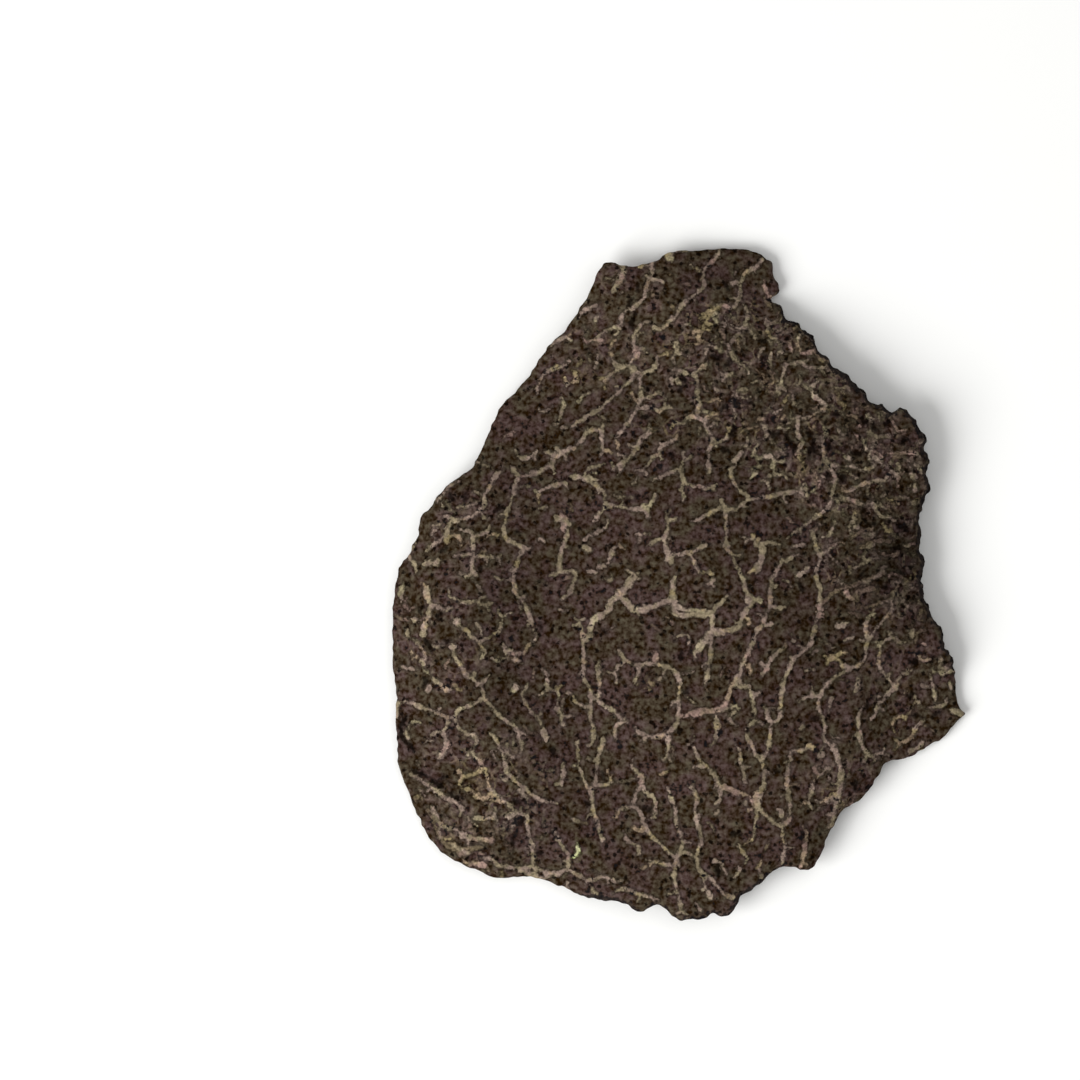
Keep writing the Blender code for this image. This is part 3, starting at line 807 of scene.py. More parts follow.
# %% Drawing of the veins, right
VEINS_RIGHT = """
0.4 cream 13.05,11.8 13.4,11.5
0.4 cream 11.5,8.9 11.8,8.75
cream 12,8.3 12.5,8 13,8 13.5,8.25
pink 12.3,10.4 12.5,9.7
pink 12.5,11
0.4 14.75,8.5
0.4 15.25,8.3
0.22 pink 14.1,8.9 14.6,9.15 15.4,9.15 16.6,9.15
11.75,6.5 12.3,6.8 13,7.1 13.75,7.25 14.4,7.3
11.25,6 12.1,5.8 12.9,5.6 13.75,5.7
13.6,5.4 14,4.75 14.75,4.75
0.5 12.1,4.5
0.5 13.3,2.7
0.5 15.8,2.75
0.5 16.3,7.6
0.5 16.5,6.8
12,1.2 12.7,1.4 13.25,1.75 13.9,1.85
12.9,0.2 13.75,0.6 14.2,0.85
15,-0.6 14.8,-0.9 14.75,-1.8 14.25,-2.4 13.75,-3.1 13.3,-3.7 13,-4.2 13,-4.9 12.7,-5.4 12.25,-5.75
12.25,-5.75 11.6,-5.75 11.25,-5.5
14.8,-0.9 14.1,-1.25
13.25,-2.1 13,-2.7 13,-3.3 13.1,-3.8
15.1,-0.5 15.4,-1 15.8,-1.4 16.2,-1.75
dim 9.8,-1.4 10.5,-0.7 11.15,-0.35 11.9,-0.1 12.55,0.2 13.35,0.45 14.15,0.8
0.4 dim 12.4,-1.1 12.4,-0.65 12.8,-0.4 13.7,-0.25
dim 13,-1.6 13.9,-1.3 14.65,-0.95 14.9,-0.6 15.2,-0.15
dim 11.9,3.2 12.6,3.7 13.4,3.9
dim 12.6,2.6 13.6,3 14.6,3.05
dim 13.9,2.3 14.6,2 15.2,2.2
0.26 cream 11.5,-3.95 11.75,-3.75 12.05,-3.65
cream 11,-2.9 11.8,-2.7
0.3 cleft 16.2,-5.4 16.5,-5.5
0.3 cleft 17.5,-5.4 17.7,-5.1
0.24 cleft 12.65,-2.75
0.24 cleft 14.35,-0.2
14.2,-4 14.6,-3.8 15,-3.7 15.2,-4
14.7,-3.4 14.75,-3.8
14,-4.4 13.9,-5.2 14,-5.8 14.3,-6.3 14.8,-6.8 15.1,-7.25
15.6,-6.2 15.3,-6.7 15.1,-7.25 14.6,-7.6 14.3,-8.1 13.8,-8.4 13.7,-9 13.4,-9.4
12.5,-6.4 12.4,-7.1 12.2,-7.5
12.8,-8.5 12.5,-9.1 12.5,-9.8 12.6,-10.6 12.75,-11.25 13.2,-11.9 13.5,-12 14.2,-11.8
13.1,-12 12.9,-12.4
17.5,-6.2 17.7,-6.9 17.9,-7.7 18,-8.2
17.4,-8.7 18.5,-8.5
cream 18,-6.2 18.5,-6.2 19.2,-6.1
cream 19,-6.9 19.1,-7.3
pink 16.7,-5 17,-5.3 17.5,-5.3
pink 17.1,-4.2
0.26 yellow 14.9,-9.6 15.1,-9.35 15.5,-9.25 15.9,-9.35
0.2 dim 15.95,-9.2 16.3,-8.7 16.6,-8.1
0.24 yellow 14.9,-9.6 14.92,-9.95 15,-10.25
0.24 17.2,-9.45 16.85,-9.8 16.5,-10.15
0.17 dim 16.9,-9.65 17.4,-10 17.9,-10.35
0.26 yellow 16.5,-10.2 16.25,-10.7 15.9,-11 15.45,-11.15
16.5,-7.9 16.7,-8.25
17,-11.1 16.8,-11.4 16.2,-11.7
16.3,-3.25 16.2,-3.7
"""
print("right:", VEINS_RIGHT.count("\n") - 1, "rows")


# %% [markdown]
# The tints of the veins are named here, as sRGB hex values. Blender's materials work in linear
# light, so one function turns a hex value into linear numbers. Most veins are beige. Some are
# creamier where the wall is thick, and others are tinged with pink or yellow. Two more tints are
# for strokes that aren't veins in full view: dim for those seen through a film of flesh, and a
# nearly black one that is painted shade inside the small open cracks. The last, fleck, is one
# bright green-yellow spot.

# %% Tints and rows of the veins
def linear(hex_value):
    """Linear red, green, blue and 1, from an sRGB hex value such as "#8f7f6d"."""
    channels = [int(hex_value[i:i + 2], 16) / 255.0 for i in (1, 3, 5)]
    return tuple(
        c / 12.92 if c <= 0.04045 else ((c + 0.055) / 1.055) ** 2.4 for c in channels
    ) + (1.0,)


VEIN_TINTS = {
    "beige": "#817263",
    "cream": "#8e806d",
    "pink": "#887365",
    "yellow": "#8d7b62",
    "dim": "#68594b",
    # The nearly black tint below paints the shade inside small open cracks.
    "cleft": "#0c0704",
    "fleck": "#cfd29c",
}
BLOT_TURN = 2.4
BLOT_REACH = 0.3
BLOT_BEND = 0.2
BLOT_NARROWER = 0.75


def vein_rows(text):
    """(points, width, tint) for each row of a drawing."""
    rows = []
    for line in text.strip().splitlines():
        width = VEIN_WIDTH
        tint = "beige"
        points = []
        for word in line.split():
            if "," in word:
                points.append([float(number) for number in word.split(",")])
            elif word in VEIN_TINTS:
                tint = word
            else:
                width = float(word)
        if len(points) == 1:
            x, y = points[0]
            turn = BLOT_TURN * len(rows)
            over, up = (BLOT_REACH * width * part for part in (math.cos(turn), math.sin(turn)))
            middle = [x + BLOT_BEND * up, y - BLOT_BEND * over]
            points = [[x - over, y - up], middle, [x + over, y + up]]
            width *= BLOT_NARROWER
        rows.append((points, width, tint))
    return rows


regions = (
    VEINS_TOP, VEINS_UPPER_MIDDLE, VEINS_UPPER_RIGHT, VEINS_CENTRE, VEINS_LOWER_RIGHT,
    VEINS_BOTTOM, VEINS_LOWER_LEFT, VEINS_LEFT, VEINS_RIGHT,
)
drawn_veins = [row for region in regions for row in vein_rows(region)]
print("drawn veins:", len(drawn_veins))

# %% [markdown]
# A drawn vein is turned into a fine chain of points. Each point carries its half width, its tint
# and how strongly it shows. The width swells and narrows along the way by noise, because a vein of
# even width looks like a wire. A free end swells into a bulb or thins out, each by its own draw. An
# end that meets another vein widens a little, as a web does where its strands join.

# %% Veins as chains of points
VEIN_STEP = 0.14
SWELL = 0.36
SWELL_PITCH = 0.38
END_THINNEST = -0.7
END_BULB = 0.3
END_FROM, END_TO = 0.1, 0.45
SHORT_CHAIN = 4
WEB = 0.22
FADE_MIDDLE, FADE_SWING = 0.9, 0.14
JOIN_REACH = 0.3


def vein_chain(path, width, strength, seed, joined=(False, False)):
    """Points, half widths and strengths along one vein; joined says which ends meet another."""
    count = len(path)
    draw = np.random.default_rng(seed)
    knots = max(3, round(count * VEIN_STEP / SWELL_PITCH) + 2)
    along = np.linspace(0.0, knots - 1.001, count)
    swell = np.interp(along, np.arange(knots), draw.uniform(-1.0, 1.0, knots))
    first_end = np.arange(count) * VEIN_STEP
    bulbs = [WEB if meets else draw.uniform(END_THINNEST, END_BULB) for meets in joined]
    ends = 1.0
    for bulb, away in zip(bulbs, (first_end, first_end[::-1])):
        ends = ends + bulb * (1.0 - smooth_step(away, END_FROM, END_TO))
    half = 0.5 * width * (1.0 + SWELL * swell) * (ends if count > SHORT_CHAIN else 1.0)
    flicker = np.interp(along, np.arange(knots), draw.uniform(-1.0, 1.0, knots))
    return path, half, strength * (FADE_MIDDLE + FADE_SWING * flicker)


# %% [markdown]
# Real veins are thorny. Short side branches leave the long ones at odd places, and many free ends
# split into two prongs with paler knobs. A seeded rule adds them to the drawn veins. One that would
# run into another vein is left out. The tint of a real vein changes along its way too, so short
# stretches of each are laid over it in cream, yellow or pink.

# %% Thorns and prongs of the veins
STRETCH_STEPS = (3, 7)
STRETCH_GAP = (6, 20)
STRETCH_WIDER = 1.03
THORN_GAP = (1.6, 4.2)
THORN_LENGTH = (0.34, 0.75)
THORN_TURN = (0.9, 1.6)
THORN_BEND = 0.2
THORN_CLEARANCE = 0.26
PRONG_CHANCE = 0.42
PRONG_TURN = (0.6, 1.1)
SHORT_PATH = 9
NARROWEST, WIDEST_PARENT, THORN_SHARE = 0.17, 0.36, 0.72


def headings(path):
    """The direction of travel at each point of a path."""
    along = np.gradient(path, axis=0)
    return np.arctan2(along[:, 1], along[:, 0])


def coloured_stretches(chain, draw):
    """Short stretches of one vein's chain in other tints."""
    path, half, fade, tint = chain
    found = []
    k = int(draw.integers(2, 14))
    while k < len(path) - 4 and tint in ("beige", "cream"):
        n = int(draw.integers(*STRETCH_STEPS))
        other = str(draw.choice(["cream", "yellow", "yellow", "pink"]))
        found.append((path[k:k + n], half[k:k + n] * STRETCH_WIDER, fade[k:k + n], other))
        k += n + int(draw.integers(*STRETCH_GAP))
    return found


def thorns(paths, joins):
    """Side branches along the long drawn veins, and prongs at their free ends."""
    draw = np.random.default_rng(31)
    everything = np.vstack(paths)
    found = []
    for path, meets, (_, width, tint) in zip(paths, joins, drawn_veins):
        if len(path) < SHORT_PATH or tint in ("cleft", "fleck", "dim"):
            continue
        way = headings(path)
        starts = []
        reached = draw.uniform(*THORN_GAP)
        while reached < (len(path) - 3) * VEIN_STEP:
            k = int(reached / VEIN_STEP)
            side = draw.choice([-1.0, 1.0])
            starts.append((k, way[k] + side * draw.uniform(*THORN_TURN), tint))
            reached += draw.uniform(*THORN_GAP)
        for k, joined, back in ((0, meets[0], math.pi), (len(path) - 1, meets[1], 0.0)):
            for side in (-1.0, 1.0):
                if not joined and draw.random() < PRONG_CHANCE:
                    knob = str(draw.choice([tint, tint, "cream", "yellow"]))
                    starts.append((k, way[k] + back + side * draw.uniform(*PRONG_TURN), knob))
        for k, heading, colour in starts:
            length = draw.uniform(*THORN_LENGTH)
            ahead = length * np.array([math.cos(heading), math.sin(heading)])
            bend = draw.uniform(-THORN_BEND, THORN_BEND) * np.array([-ahead[1], ahead[0]])
            walk = np.array([path[k], path[k] + 0.5 * ahead + bend, path[k] + ahead])
            if nearest_in_plan(walk[2:], everything)[0][0] > THORN_CLEARANCE:
                thinner = max(NARROWEST, THORN_SHARE * min(width, WIDEST_PARENT))
                found.append((walk, thinner, colour))
    return found


# %% [markdown]
# Between the long veins lie hundreds of short curled strokes. They are where a folded vein only
# grazes the cut. Drawing each would take days, so they are strewn: a seeded random walk makes each
# stroke, and a map of beds says how thickly they lie in each part of the slice. They keep clear of
# the drawn veins and of each other, and mostly run the way the nearest drawn vein runs.

# %% Strewn curls
CURL_BEDS = [
    # centre x, centre y, reach, strokes per square millimetre
    (9.0, 13.5, 6.5, 2.10),
    (12.5, 8.0, 5.0, 2.00),
    (3.5, 15.5, 5.0, 1.40),
    (14.0, 1.5, 4.5, 1.70),
    (15.5, -7.0, 4.0, 0.45),
    (12.0, -14.0, 3.5, 0.70),
    (0.0, 12.5, 4.0, 0.80),
    (-14.0, -15.0, 6.0, 0.75),
    (-16.0, -4.0, 4.5, 0.50),
    (-14.5, 4.0, 4.0, 0.60),
    (-5.0, 18.0, 5.0, 0.60),
]
CURL_GROUND = 0.12
CURL_TRIES = 3.4
CURL_THICKEST = 2.35
CURL_EDGE = (0.55, 1.15)
CURL_CLEARANCE = 0.28
CLEARANCE_ALONG = 0.8
RIM_CLEARANCE = 0.3
CURL_WIDTH = (0.17, 0.30)
CURL_LENGTH = (0.35, 1.8)
CURL_STEP = 0.28
CURL_STRENGTH = (0.7, 1.0)
START_SPREAD, BEND_SPREAD, STEP_SPREAD = 0.7, 1.1, 0.42
# Some curls take the nearly black crack tint: painted shade of small cracks.
CURL_TINTS = ["beige", "beige", "beige", "dim", "cream", "pink", "yellow", "cleft", "cleft"]
CLEFT_POINTS = 3


def patch_share(points, x, y, inner, outer):
    """1 at points within inner of the place, 0 beyond outer, eased between."""
    return 1.0 - smooth_step(np.hypot(points[:, 0] - x, points[:, 1] - y), inner, outer)


def bed_density(points, inner, outer):
    """Strokes per square millimetre; inner and outer are shares of a bed's reach."""
    density = np.full(len(points), CURL_GROUND)
    for x, y, reach, thick in CURL_BEDS:
        share = patch_share(points, x, y, inner * reach, outer * reach)
        density = np.maximum(density, thick * share)
    return density


def strewn_curls(main_points, main_headings):
    """Short curled strokes between the drawn veins."""
    draw = np.random.default_rng(77)
    low, high = rim[:, :2].min(axis=0), rim[:, :2].max(axis=0)
    area = (high - low).prod()
    tries = draw.uniform(low, high, (round(area * CURL_TRIES), 2))
    tries = tries[draw.random(len(tries)) < bed_density(tries, *CURL_EDGE) / CURL_THICKEST]
    tries = tries[nearest_in_plan(tries, main_points)[0] > CURL_CLEARANCE]
    tries = tries[nearest_in_plan(tries, rim)[0] > RIM_CLEARANCE]
    taken = main_points
    curls = []
    for start in tries:
        length = draw.uniform(*CURL_LENGTH)
        beside = np.hypot(*(main_points - start).T).argmin()
        heading = main_headings[beside] + draw.normal(0.0, START_SPREAD) + draw.choice([0.0, math.pi])
        bend = draw.normal(0.0, BEND_SPREAD)
        points = [start]
        for _ in range(max(2, round(length / CURL_STEP))):
            heading += bend * CURL_STEP + draw.normal(0.0, STEP_SPREAD)
            points.append(points[-1] + CURL_STEP * np.array([math.cos(heading), math.sin(heading)]))
        walk = np.array(points)
        clear = nearest_in_plan(walk, taken)[0] > CURL_CLEARANCE * CLEARANCE_ALONG
        if not clear.all():
            walk = walk[:int(np.argmin(clear))]
        if len(walk) < 2:
            continue
        width = draw.uniform(*CURL_WIDTH)
        tint = draw.choice(CURL_TINTS)
        if tint == "cleft":
            walk = walk[:CLEFT_POINTS]
        curls.append((walk.tolist(), width, str(tint), draw.uniform(*CURL_STRENGTH)))
        taken = np.vstack([taken, walk])
    return curls


print("beds of curls:", len(CURL_BEDS))

# %% [markdown]
# Now every stroke becomes a chain: first the drawn veins, then the stretches in other tints laid
# over them, then the thorns and prongs, which are joined at their root, and last the curls.

# %% All the chains
THORN_STRENGTH = 0.95


def joined_ends(paths):
    """For each path, whether its first and last point lie on another path."""
    owner = np.concatenate([np.full(len(path), i) for i, path in enumerate(paths)])
    everything = np.vstack(paths)
    found = []
    for i, path in enumerate(paths):
        gaps = nearest_in_plan(path[[0, -1]], everything[owner != i])[0]
        found.append(tuple(gaps < JOIN_REACH))
    return found


drawn_paths = [spline_through(points, VEIN_STEP) for points, _, _ in drawn_veins]
drawn_joins = joined_ends(drawn_paths)
chains = []
for i, (path, meets, (_, width, tint)) in enumerate(zip(drawn_paths, drawn_joins, drawn_veins)):
    chains.append((*vein_chain(path, width, 1.0, 1000 + i, meets), tint))
stretch_draw = np.random.default_rng(53)
stretches = [piece for chain in chains for piece in coloured_stretches(chain, stretch_draw)]
chains += stretches
print("stretches in other tints:", len(stretches))
side_branches = thorns(drawn_paths, drawn_joins)
branch_paths = [spline_through(walk, VEIN_STEP) for walk, _, _ in side_branches]
for i, (path, (_, width, tint)) in enumerate(zip(branch_paths, side_branches)):
    chains.append((*vein_chain(path, width, THORN_STRENGTH, 3000 + i, (True, False)), tint))
print("thorns and prongs:", len(side_branches))
main_points = np.vstack(drawn_paths + branch_paths)
main_headings = np.concatenate([headings(path) for path in drawn_paths + branch_paths])
curls = strewn_curls(main_points, main_headings)
for i, (points, width, tint, strength) in enumerate(curls):
    path = spline_through(points, VEIN_STEP)
    chains.append((*vein_chain(path, width, strength, 5000 + i), tint))
print("curls:", len(curls), "vein points:", sum(len(chain[0]) for chain in chains))

# %% [markdown]
# All chains become one mesh of edges, flat at height zero. It is only a guide, so it is never
# rendered. Geometry Nodes will measure from it.

# %% The vein guide
def store(mesh, name, values):
    """Store one number for each point of a mesh under a name."""
    mesh.attributes.new(name, "FLOAT", "POINT").data.foreach_set("value", values)


def vein_guide():
    """A mesh of edges with half_width, tint and strength on its points."""
    points = []
    edges = []
    tints = []
    for path, _, _, tint in chains:
        first = len(points)
        points += [(x * MM, y * MM, 0.0) for x, y in path]
        edges += [(first + k, first + k + 1) for k in range(len(path) - 1)]
        tints += [linear(VEIN_TINTS[tint])[:3]] * len(path)
    mesh = bpy.data.meshes.new("vein guide")
    mesh.from_pydata(points, edges, [])
    store(mesh, "half_width", np.concatenate([half * MM for _, half, _, _ in chains]))
    store(mesh, "strength", np.concatenate([fade for _, _, fade, _ in chains]))
    tint_data = mesh.attributes.new("tint", "FLOAT_VECTOR", "POINT").data
    tint_data.foreach_set("vector", np.array(tints).ravel())
    return bpy.data.objects.new("vein guide", mesh)


guide = vein_guide()
print("guide:", len(guide.data.edges), "edges")

# %% [markdown]
# One small function adds a node, sets its properties and joins its inputs. Node trees for geometry
# and for materials are both built with it, so a tree reads from top to bottom like a recipe. The
# settings that come up again and again have short names. A Map Range node takes four limits: the
# lowest and highest value in, and what each of them becomes.

# %% A helper that adds a node
TIMES = {"operation": "MULTIPLY"}
TIMES_PLUS = {"operation": "MULTIPLY_ADD"}
PLUS = {"operation": "ADD"}
MINUS = {"operation": "SUBTRACT"}
SCALED = {"operation": "SCALE"}
EASED = {"interpolation_type": "SMOOTHSTEP"}
COLOURS = {"data_type": "RGBA"}
LIMITS = ("From_Min", "From_Max", "To_Min", "To_Max")


def add_node(tree, kind, settings=None, **inputs):
    """A node of the tree; inputs are named or numbered sockets with a value or an output."""
    node = tree.nodes.new(kind)
    for name, value in (settings or {}).items():
        setattr(node, name, value)
    for name, value in inputs.items():
        socket = node.inputs[int(name[2:]) if name[2:].isdigit() else name.replace("_", " ")]
        if isinstance(value, bpy.types.NodeSocket):
            tree.links.new(value, socket)
        else:
            socket.default_value = value
    return node


# %% [markdown]
# Geometry Nodes paint the veins onto the slice. For each point of the mesh, the tree finds how far
# away the nearest vein is in plan, and stores that distance less the vein's half width, with the
# vein's tint and strength. The material later draws a vein where the stored gap is below zero.
# Before measuring, each point is pushed about by noise, so the veins waver the way tissue does. The
# veins stand very slightly proud of the flesh, which is grainy and broken by small pits.

# %% Geometry Nodes for the marbling
WANDER = 0.34
WANDER_SIZE = 0.42
VEIN_RELIEF = 0.035
FLESH_RELIEF = 0.05
PIT_DEPTH = 0.07
GRAINS_PER_MM = 1.9
PITS_PER_MM = 1.5
PIT_AREAS_PER_MM = 0.9
IN_PLAN = (1.0, 1.0, 0.0)
SINKS_OFF_VEIN = dict(zip(LIMITS, (-0.05, 0.2, 0.0, -1.0)))
SINKS_AT_PIT = dict(zip(LIMITS, (0.1, 0.42, -1.0, 0.0)))
PITTED_AREA = dict(zip(LIMITS, (0.48, 0.6, 0.0, 1.0)))


def marbling_tree(guide_object, material):
    """The node tree that stores the marbling and adds the relief."""
    tree = bpy.data.node_groups.new("truffle marbling", "GeometryNodeTree")
    tree.interface.new_socket("Geometry", in_out="INPUT", socket_type="NodeSocketGeometry")
    for name in ("Wander", "Wander scale", "Vein relief", "Flesh relief", "Pit depth"):
        tree.interface.new_socket(name, in_out="INPUT", socket_type="NodeSocketFloat")
    tree.interface.new_socket("Geometry", in_out="OUTPUT", socket_type="NodeSocketGeometry")
    given = tree.nodes.new("NodeGroupInput").outputs
    result = tree.nodes.new("NodeGroupOutput")

    place = add_node(tree, "GeometryNodeInputPosition").outputs[0]
    flat = add_node(tree, "ShaderNodeVectorMath", TIMES, in0=place, in1=IN_PLAN).outputs[0]
    wobble = add_node(
        tree, "ShaderNodeTexNoise", Vector=flat, Scale=given["Wander scale"], Detail=2.0
    ).outputs["Color"]
    centred = add_node(tree, "ShaderNodeVectorMath", MINUS, in0=wobble, in1=(0.5, 0.5, 0.5)).outputs[0]
    push = add_node(tree, "ShaderNodeVectorMath", SCALED, in0=centred, Scale=given["Wander"]).outputs[0]
    pushed = add_node(tree, "ShaderNodeVectorMath", PLUS, in0=flat, in1=push).outputs[0]
    sample_at = add_node(tree, "ShaderNodeVectorMath", TIMES, in0=pushed, in1=IN_PLAN).outputs[0]

    veins = add_node(tree, "GeometryNodeObjectInfo", Object=guide_object).outputs["Geometry"]
    edges = {"target_element": "EDGES"}
    away = add_node(
        tree, "GeometryNodeProximity", edges, Geometry=veins, Sample_Position=sample_at
    ).outputs["Distance"]
    nearest = add_node(
        tree, "GeometryNodeSampleNearest", Geometry=veins, Sample_Position=sample_at
    ).outputs[0]
    sampled = {}
    for name, kind in (("half_width", "FLOAT"), ("strength", "FLOAT"), ("tint", "FLOAT_VECTOR")):
        carried = {"data_type": kind}
        named = add_node(tree, "GeometryNodeInputNamedAttribute", carried, Name=name).outputs[0]
        sampled[name] = add_node(
            tree, "GeometryNodeSampleIndex", carried, Geometry=veins, Value=named, Index=nearest
        ).outputs[0]
    gap = add_node(tree, "ShaderNodeMath", MINUS, in0=away, in1=sampled["half_width"]).outputs[0]
    gap_mm = add_node(tree, "ShaderNodeMath", {"operation": "DIVIDE"}, in0=gap, in1=MM).outputs[0]

    painted = given["Geometry"]
    for name, kind, value in (
        ("vein_gap", "FLOAT", gap_mm),
        ("vein_strength", "FLOAT", sampled["strength"]),
        ("vein_tint", "FLOAT_VECTOR", sampled["tint"]),
    ):
        on_points = {"data_type": kind, "domain": "POINT"}
        painted = add_node(
            tree, "GeometryNodeStoreNamedAttribute", on_points, Geometry=painted, Name=name, Value=value
        ).outputs[0]

    sunk = add_node(tree, "ShaderNodeMapRange", EASED, Value=gap_mm, **SINKS_OFF_VEIN).outputs[0]
    grain = add_node(
        tree, "ShaderNodeTexNoise", Vector=place, Scale=GRAINS_PER_MM / MM, Detail=2.0, Roughness=0.6
    ).outputs["Fac"]
    uneven = add_node(tree, "ShaderNodeMath", MINUS, in0=grain, in1=0.5).outputs[0]
    cells = add_node(
        tree, "ShaderNodeTexVoronoi", {"feature": "F1"}, Vector=place, Scale=PITS_PER_MM / MM
    ).outputs["Distance"]
    pit = add_node(tree, "ShaderNodeMapRange", EASED, Value=cells, **SINKS_AT_PIT).outputs[0]
    areas = add_node(
        tree, "ShaderNodeTexNoise", Vector=flat, Scale=PIT_AREAS_PER_MM / MM, Detail=1.0
    ).outputs["Fac"]
    pitted = add_node(tree, "ShaderNodeMapRange", EASED, Value=areas, **PITTED_AREA).outputs[0]
    pit_here = add_node(tree, "ShaderNodeMath", TIMES, in0=pit, in1=pitted).outputs[0]
    total = 0.0
    for shape, depth in ((sunk, "Vein relief"), (uneven, "Flesh relief"), (pit_here, "Pit depth")):
        relief = add_node(tree, "ShaderNodeMath", TIMES, in0=shape, in1=given[depth]).outputs[0]
        total = add_node(tree, "ShaderNodeMath", PLUS, in0=total, in1=relief).outputs[0]
    inward = add_node(tree, "ShaderNodeMath", {"operation": "MINIMUM"}, in0=total, in1=0.0).outputs[0]
    normal = add_node(tree, "GeometryNodeInputNormal").outputs[0]
    offset = add_node(tree, "ShaderNodeVectorMath", SCALED, in0=normal, Scale=inward).outputs[0]
    moved = add_node(tree, "GeometryNodeSetPosition", Geometry=painted, Offset=offset).outputs[0]
    real = add_node(tree, "GeometryNodeRealizeInstances", Geometry=moved).outputs[0]
    finished = add_node(tree, "GeometryNodeSetMaterial", Geometry=real, Material=material).outputs[0]
    tree.links.new(finished, result.inputs[0])
    return tree


print("veins wander by up to", WANDER / 2.0, "mm each way")

# %% [markdown]
# The flesh of a ripe black truffle is the spore-bearing tissue: dense, dark brown with a trace of
# purple, and finely granular, because the spore sacs are 0.05 to 0.1 mm across and lie in clumps of
# about 0.3 mm. Freshly cut it is a little moist, yet the open grain scatters nearly all the light.
# That gives the eye a matt, grainy brown with warm darks and hardly any sheen, and the pale veins
# over it.

# %% Values of the cut flesh
FLESH_STOPS = [(0.355, "#1f1103"), (0.5, "#392d26"), (0.70, "#50463e")]
SKIN_STOPS = [(0.3, "#131113"), (0.75, "#38302b")]
PIT_COLOUR = "#070301"
OLIVE_FLESH, PURPLE_FLESH = (0.94, 1.02, 0.85, 1.0), (1.07, 0.955, 1.11, 1.0)
OLIVE_VEIN, PURPLE_VEIN = (0.98, 1.035, 0.89, 1.0), (1.04, 0.995, 1.08, 1.0)
PIT_SPACING = 0.62
NET_CELL = 0.95
NET_BEND = (0.9 * MM, 0.9 * MM, 0.0)
NOISES = {
    # size of a patch in millimetres, detail, roughness, output
    "clumps": (0.33, 2.0, 0.5, "Fac"),
    "mottle": (1.5, 1.0, 0.5, "Fac"),
    "fray": (1.0 / 4.2, 3.0, 0.6, "Fac"),
    "fibres": (0.2, 2.0, 0.7, "Fac"),
    "run": (1.0, 1.0, 0.5, "Color"),
    "bend": (1.0 / 1.3, 1.0, 0.5, "Color"),
}
STORED = {
    "vein_gap": "Fac",
    "vein_strength": "Fac",
    "vein_tint": "Vector",
    "bed": "Fac",
    "painted_light_and_shade": "Fac",
    "skin": "Fac",
}
FLESH_HUE = dict(zip(LIMITS, (0.4, 0.6, 0.0, 1.0)))
VEIN_EDGE = dict(zip(LIMITS, (-0.08, 0.08, 1.0, 0.0)))
VEIN_GRAIN = dict(zip(LIMITS, (0.38, 0.62, 0.74, 1.28)))
VEIN_TONE = dict(zip(LIMITS, (0.35, 0.65, 0.84, 1.18)))
VEIN_HUE = dict(zip(LIMITS, (0.42, 0.58, 0.0, 1.0)))
VEIN_CORE = dict(zip(LIMITS, (-0.15, 0.05, 1.04, 0.77)))
NET_THREAD = dict(zip(LIMITS, (0.03, 0.14, 0.46, 0.0)))
NET_BREAKS = dict(zip(LIMITS, (0.40, 0.56, 0.15, 1.0)))
PIT_EDGE = dict(zip(LIMITS, (0.13, 0.33, 0.90, 0.0)))
# Painted shade: the flesh at a vein's edge is darkened to about half, back to full 0.2 mm away.
SHADE_BESIDE_VEIN = dict(zip(LIMITS, (0.02, 0.2, 0.52, 1.0)))
SKIN_EDGE = dict(zip(LIMITS, (0.3, 0.62, 0.0, 1.0)))
ROUGHNESS = dict(zip(LIMITS, (0.3, 0.7, 0.72, 0.46)))
# Each pair is what a noise or share is multiplied by and what is then added.
FRAY = {"in1": 0.44, "in2": -0.21}
PIT_UNEVEN = {"in1": 0.7, "in2": -0.35}
OFF_VEIN = {"in1": -0.75, "in2": 1.0}
CRUMBS = {"in1": 1.3, "in2": -0.65}
SKIN_SPECKLE = {"in1": -2.4, "in2": 0.3}
SKIN_MOTTLE = 1.6
BUMP_HEIGHT = 0.06
BUMP_STRENGTH = 0.5

print("noises:", len(NOISES), "stored on the mesh:", len(STORED))

# %% [markdown]
# The material is made in short steps. Each is a function that adds its nodes and gives back the
# output that the next step needs. First come the noises, the numbers stored on the mesh, and the two
# ramps that turn the clumps into colours of flesh and of skin.

# %% What the material reads
def readings(tree):
    """The place, the noises, the stored numbers and the ramps' colours, by name."""
    place = add_node(tree, "ShaderNodeTexCoord").outputs["Object"]
    read = {"place": place}
    for name, (size, detail, rough, output) in NOISES.items():
        scale = 1.0 / (size * MM)
        read[name] = add_node(
            tree, "ShaderNodeTexNoise", Vector=place, Scale=scale, Detail=detail, Roughness=rough
        ).outputs[output]
    for name, output in STORED.items():
        read[name] = add_node(tree, "ShaderNodeAttribute", {"attribute_name": name}).outputs[output]
    for name, wanted in (("flesh colour", FLESH_STOPS), ("skin colour", SKIN_STOPS)):
        ramp = add_node(tree, "ShaderNodeValToRGB", Fac=read["clumps"])
        stops = ramp.color_ramp.elements
        for position, _ in wanted[1:-1]:
            stops.new(position)
        for stop, (position, colour) in zip(stops, wanted):
            stop.position = position
            stop.color = linear(colour)
        read[name] = ramp.outputs["Color"]
    return read


# %% [markdown]
# The flesh leans to olive in some patches and to purple in others. A vein has its own tint, which
# leans the same ways along its run. It is brightest in its core and a little grainy.

# %% Colours of the flesh and of the veins
def flesh_colour(tree, read):
    """The clumps' browns, leaning to olive and to purple in patches."""
    leaning = add_node(tree, "ShaderNodeMapRange", Value=read["mottle"], **FLESH_HUE).outputs[0]
    hue = add_node(
        tree, "ShaderNodeMix", COLOURS, in0=leaning, in6=OLIVE_FLESH, in7=PURPLE_FLESH
    ).outputs[2]
    return add_node(tree, "ShaderNodeVectorMath", TIMES, in0=read["flesh colour"], in1=hue).outputs[0]


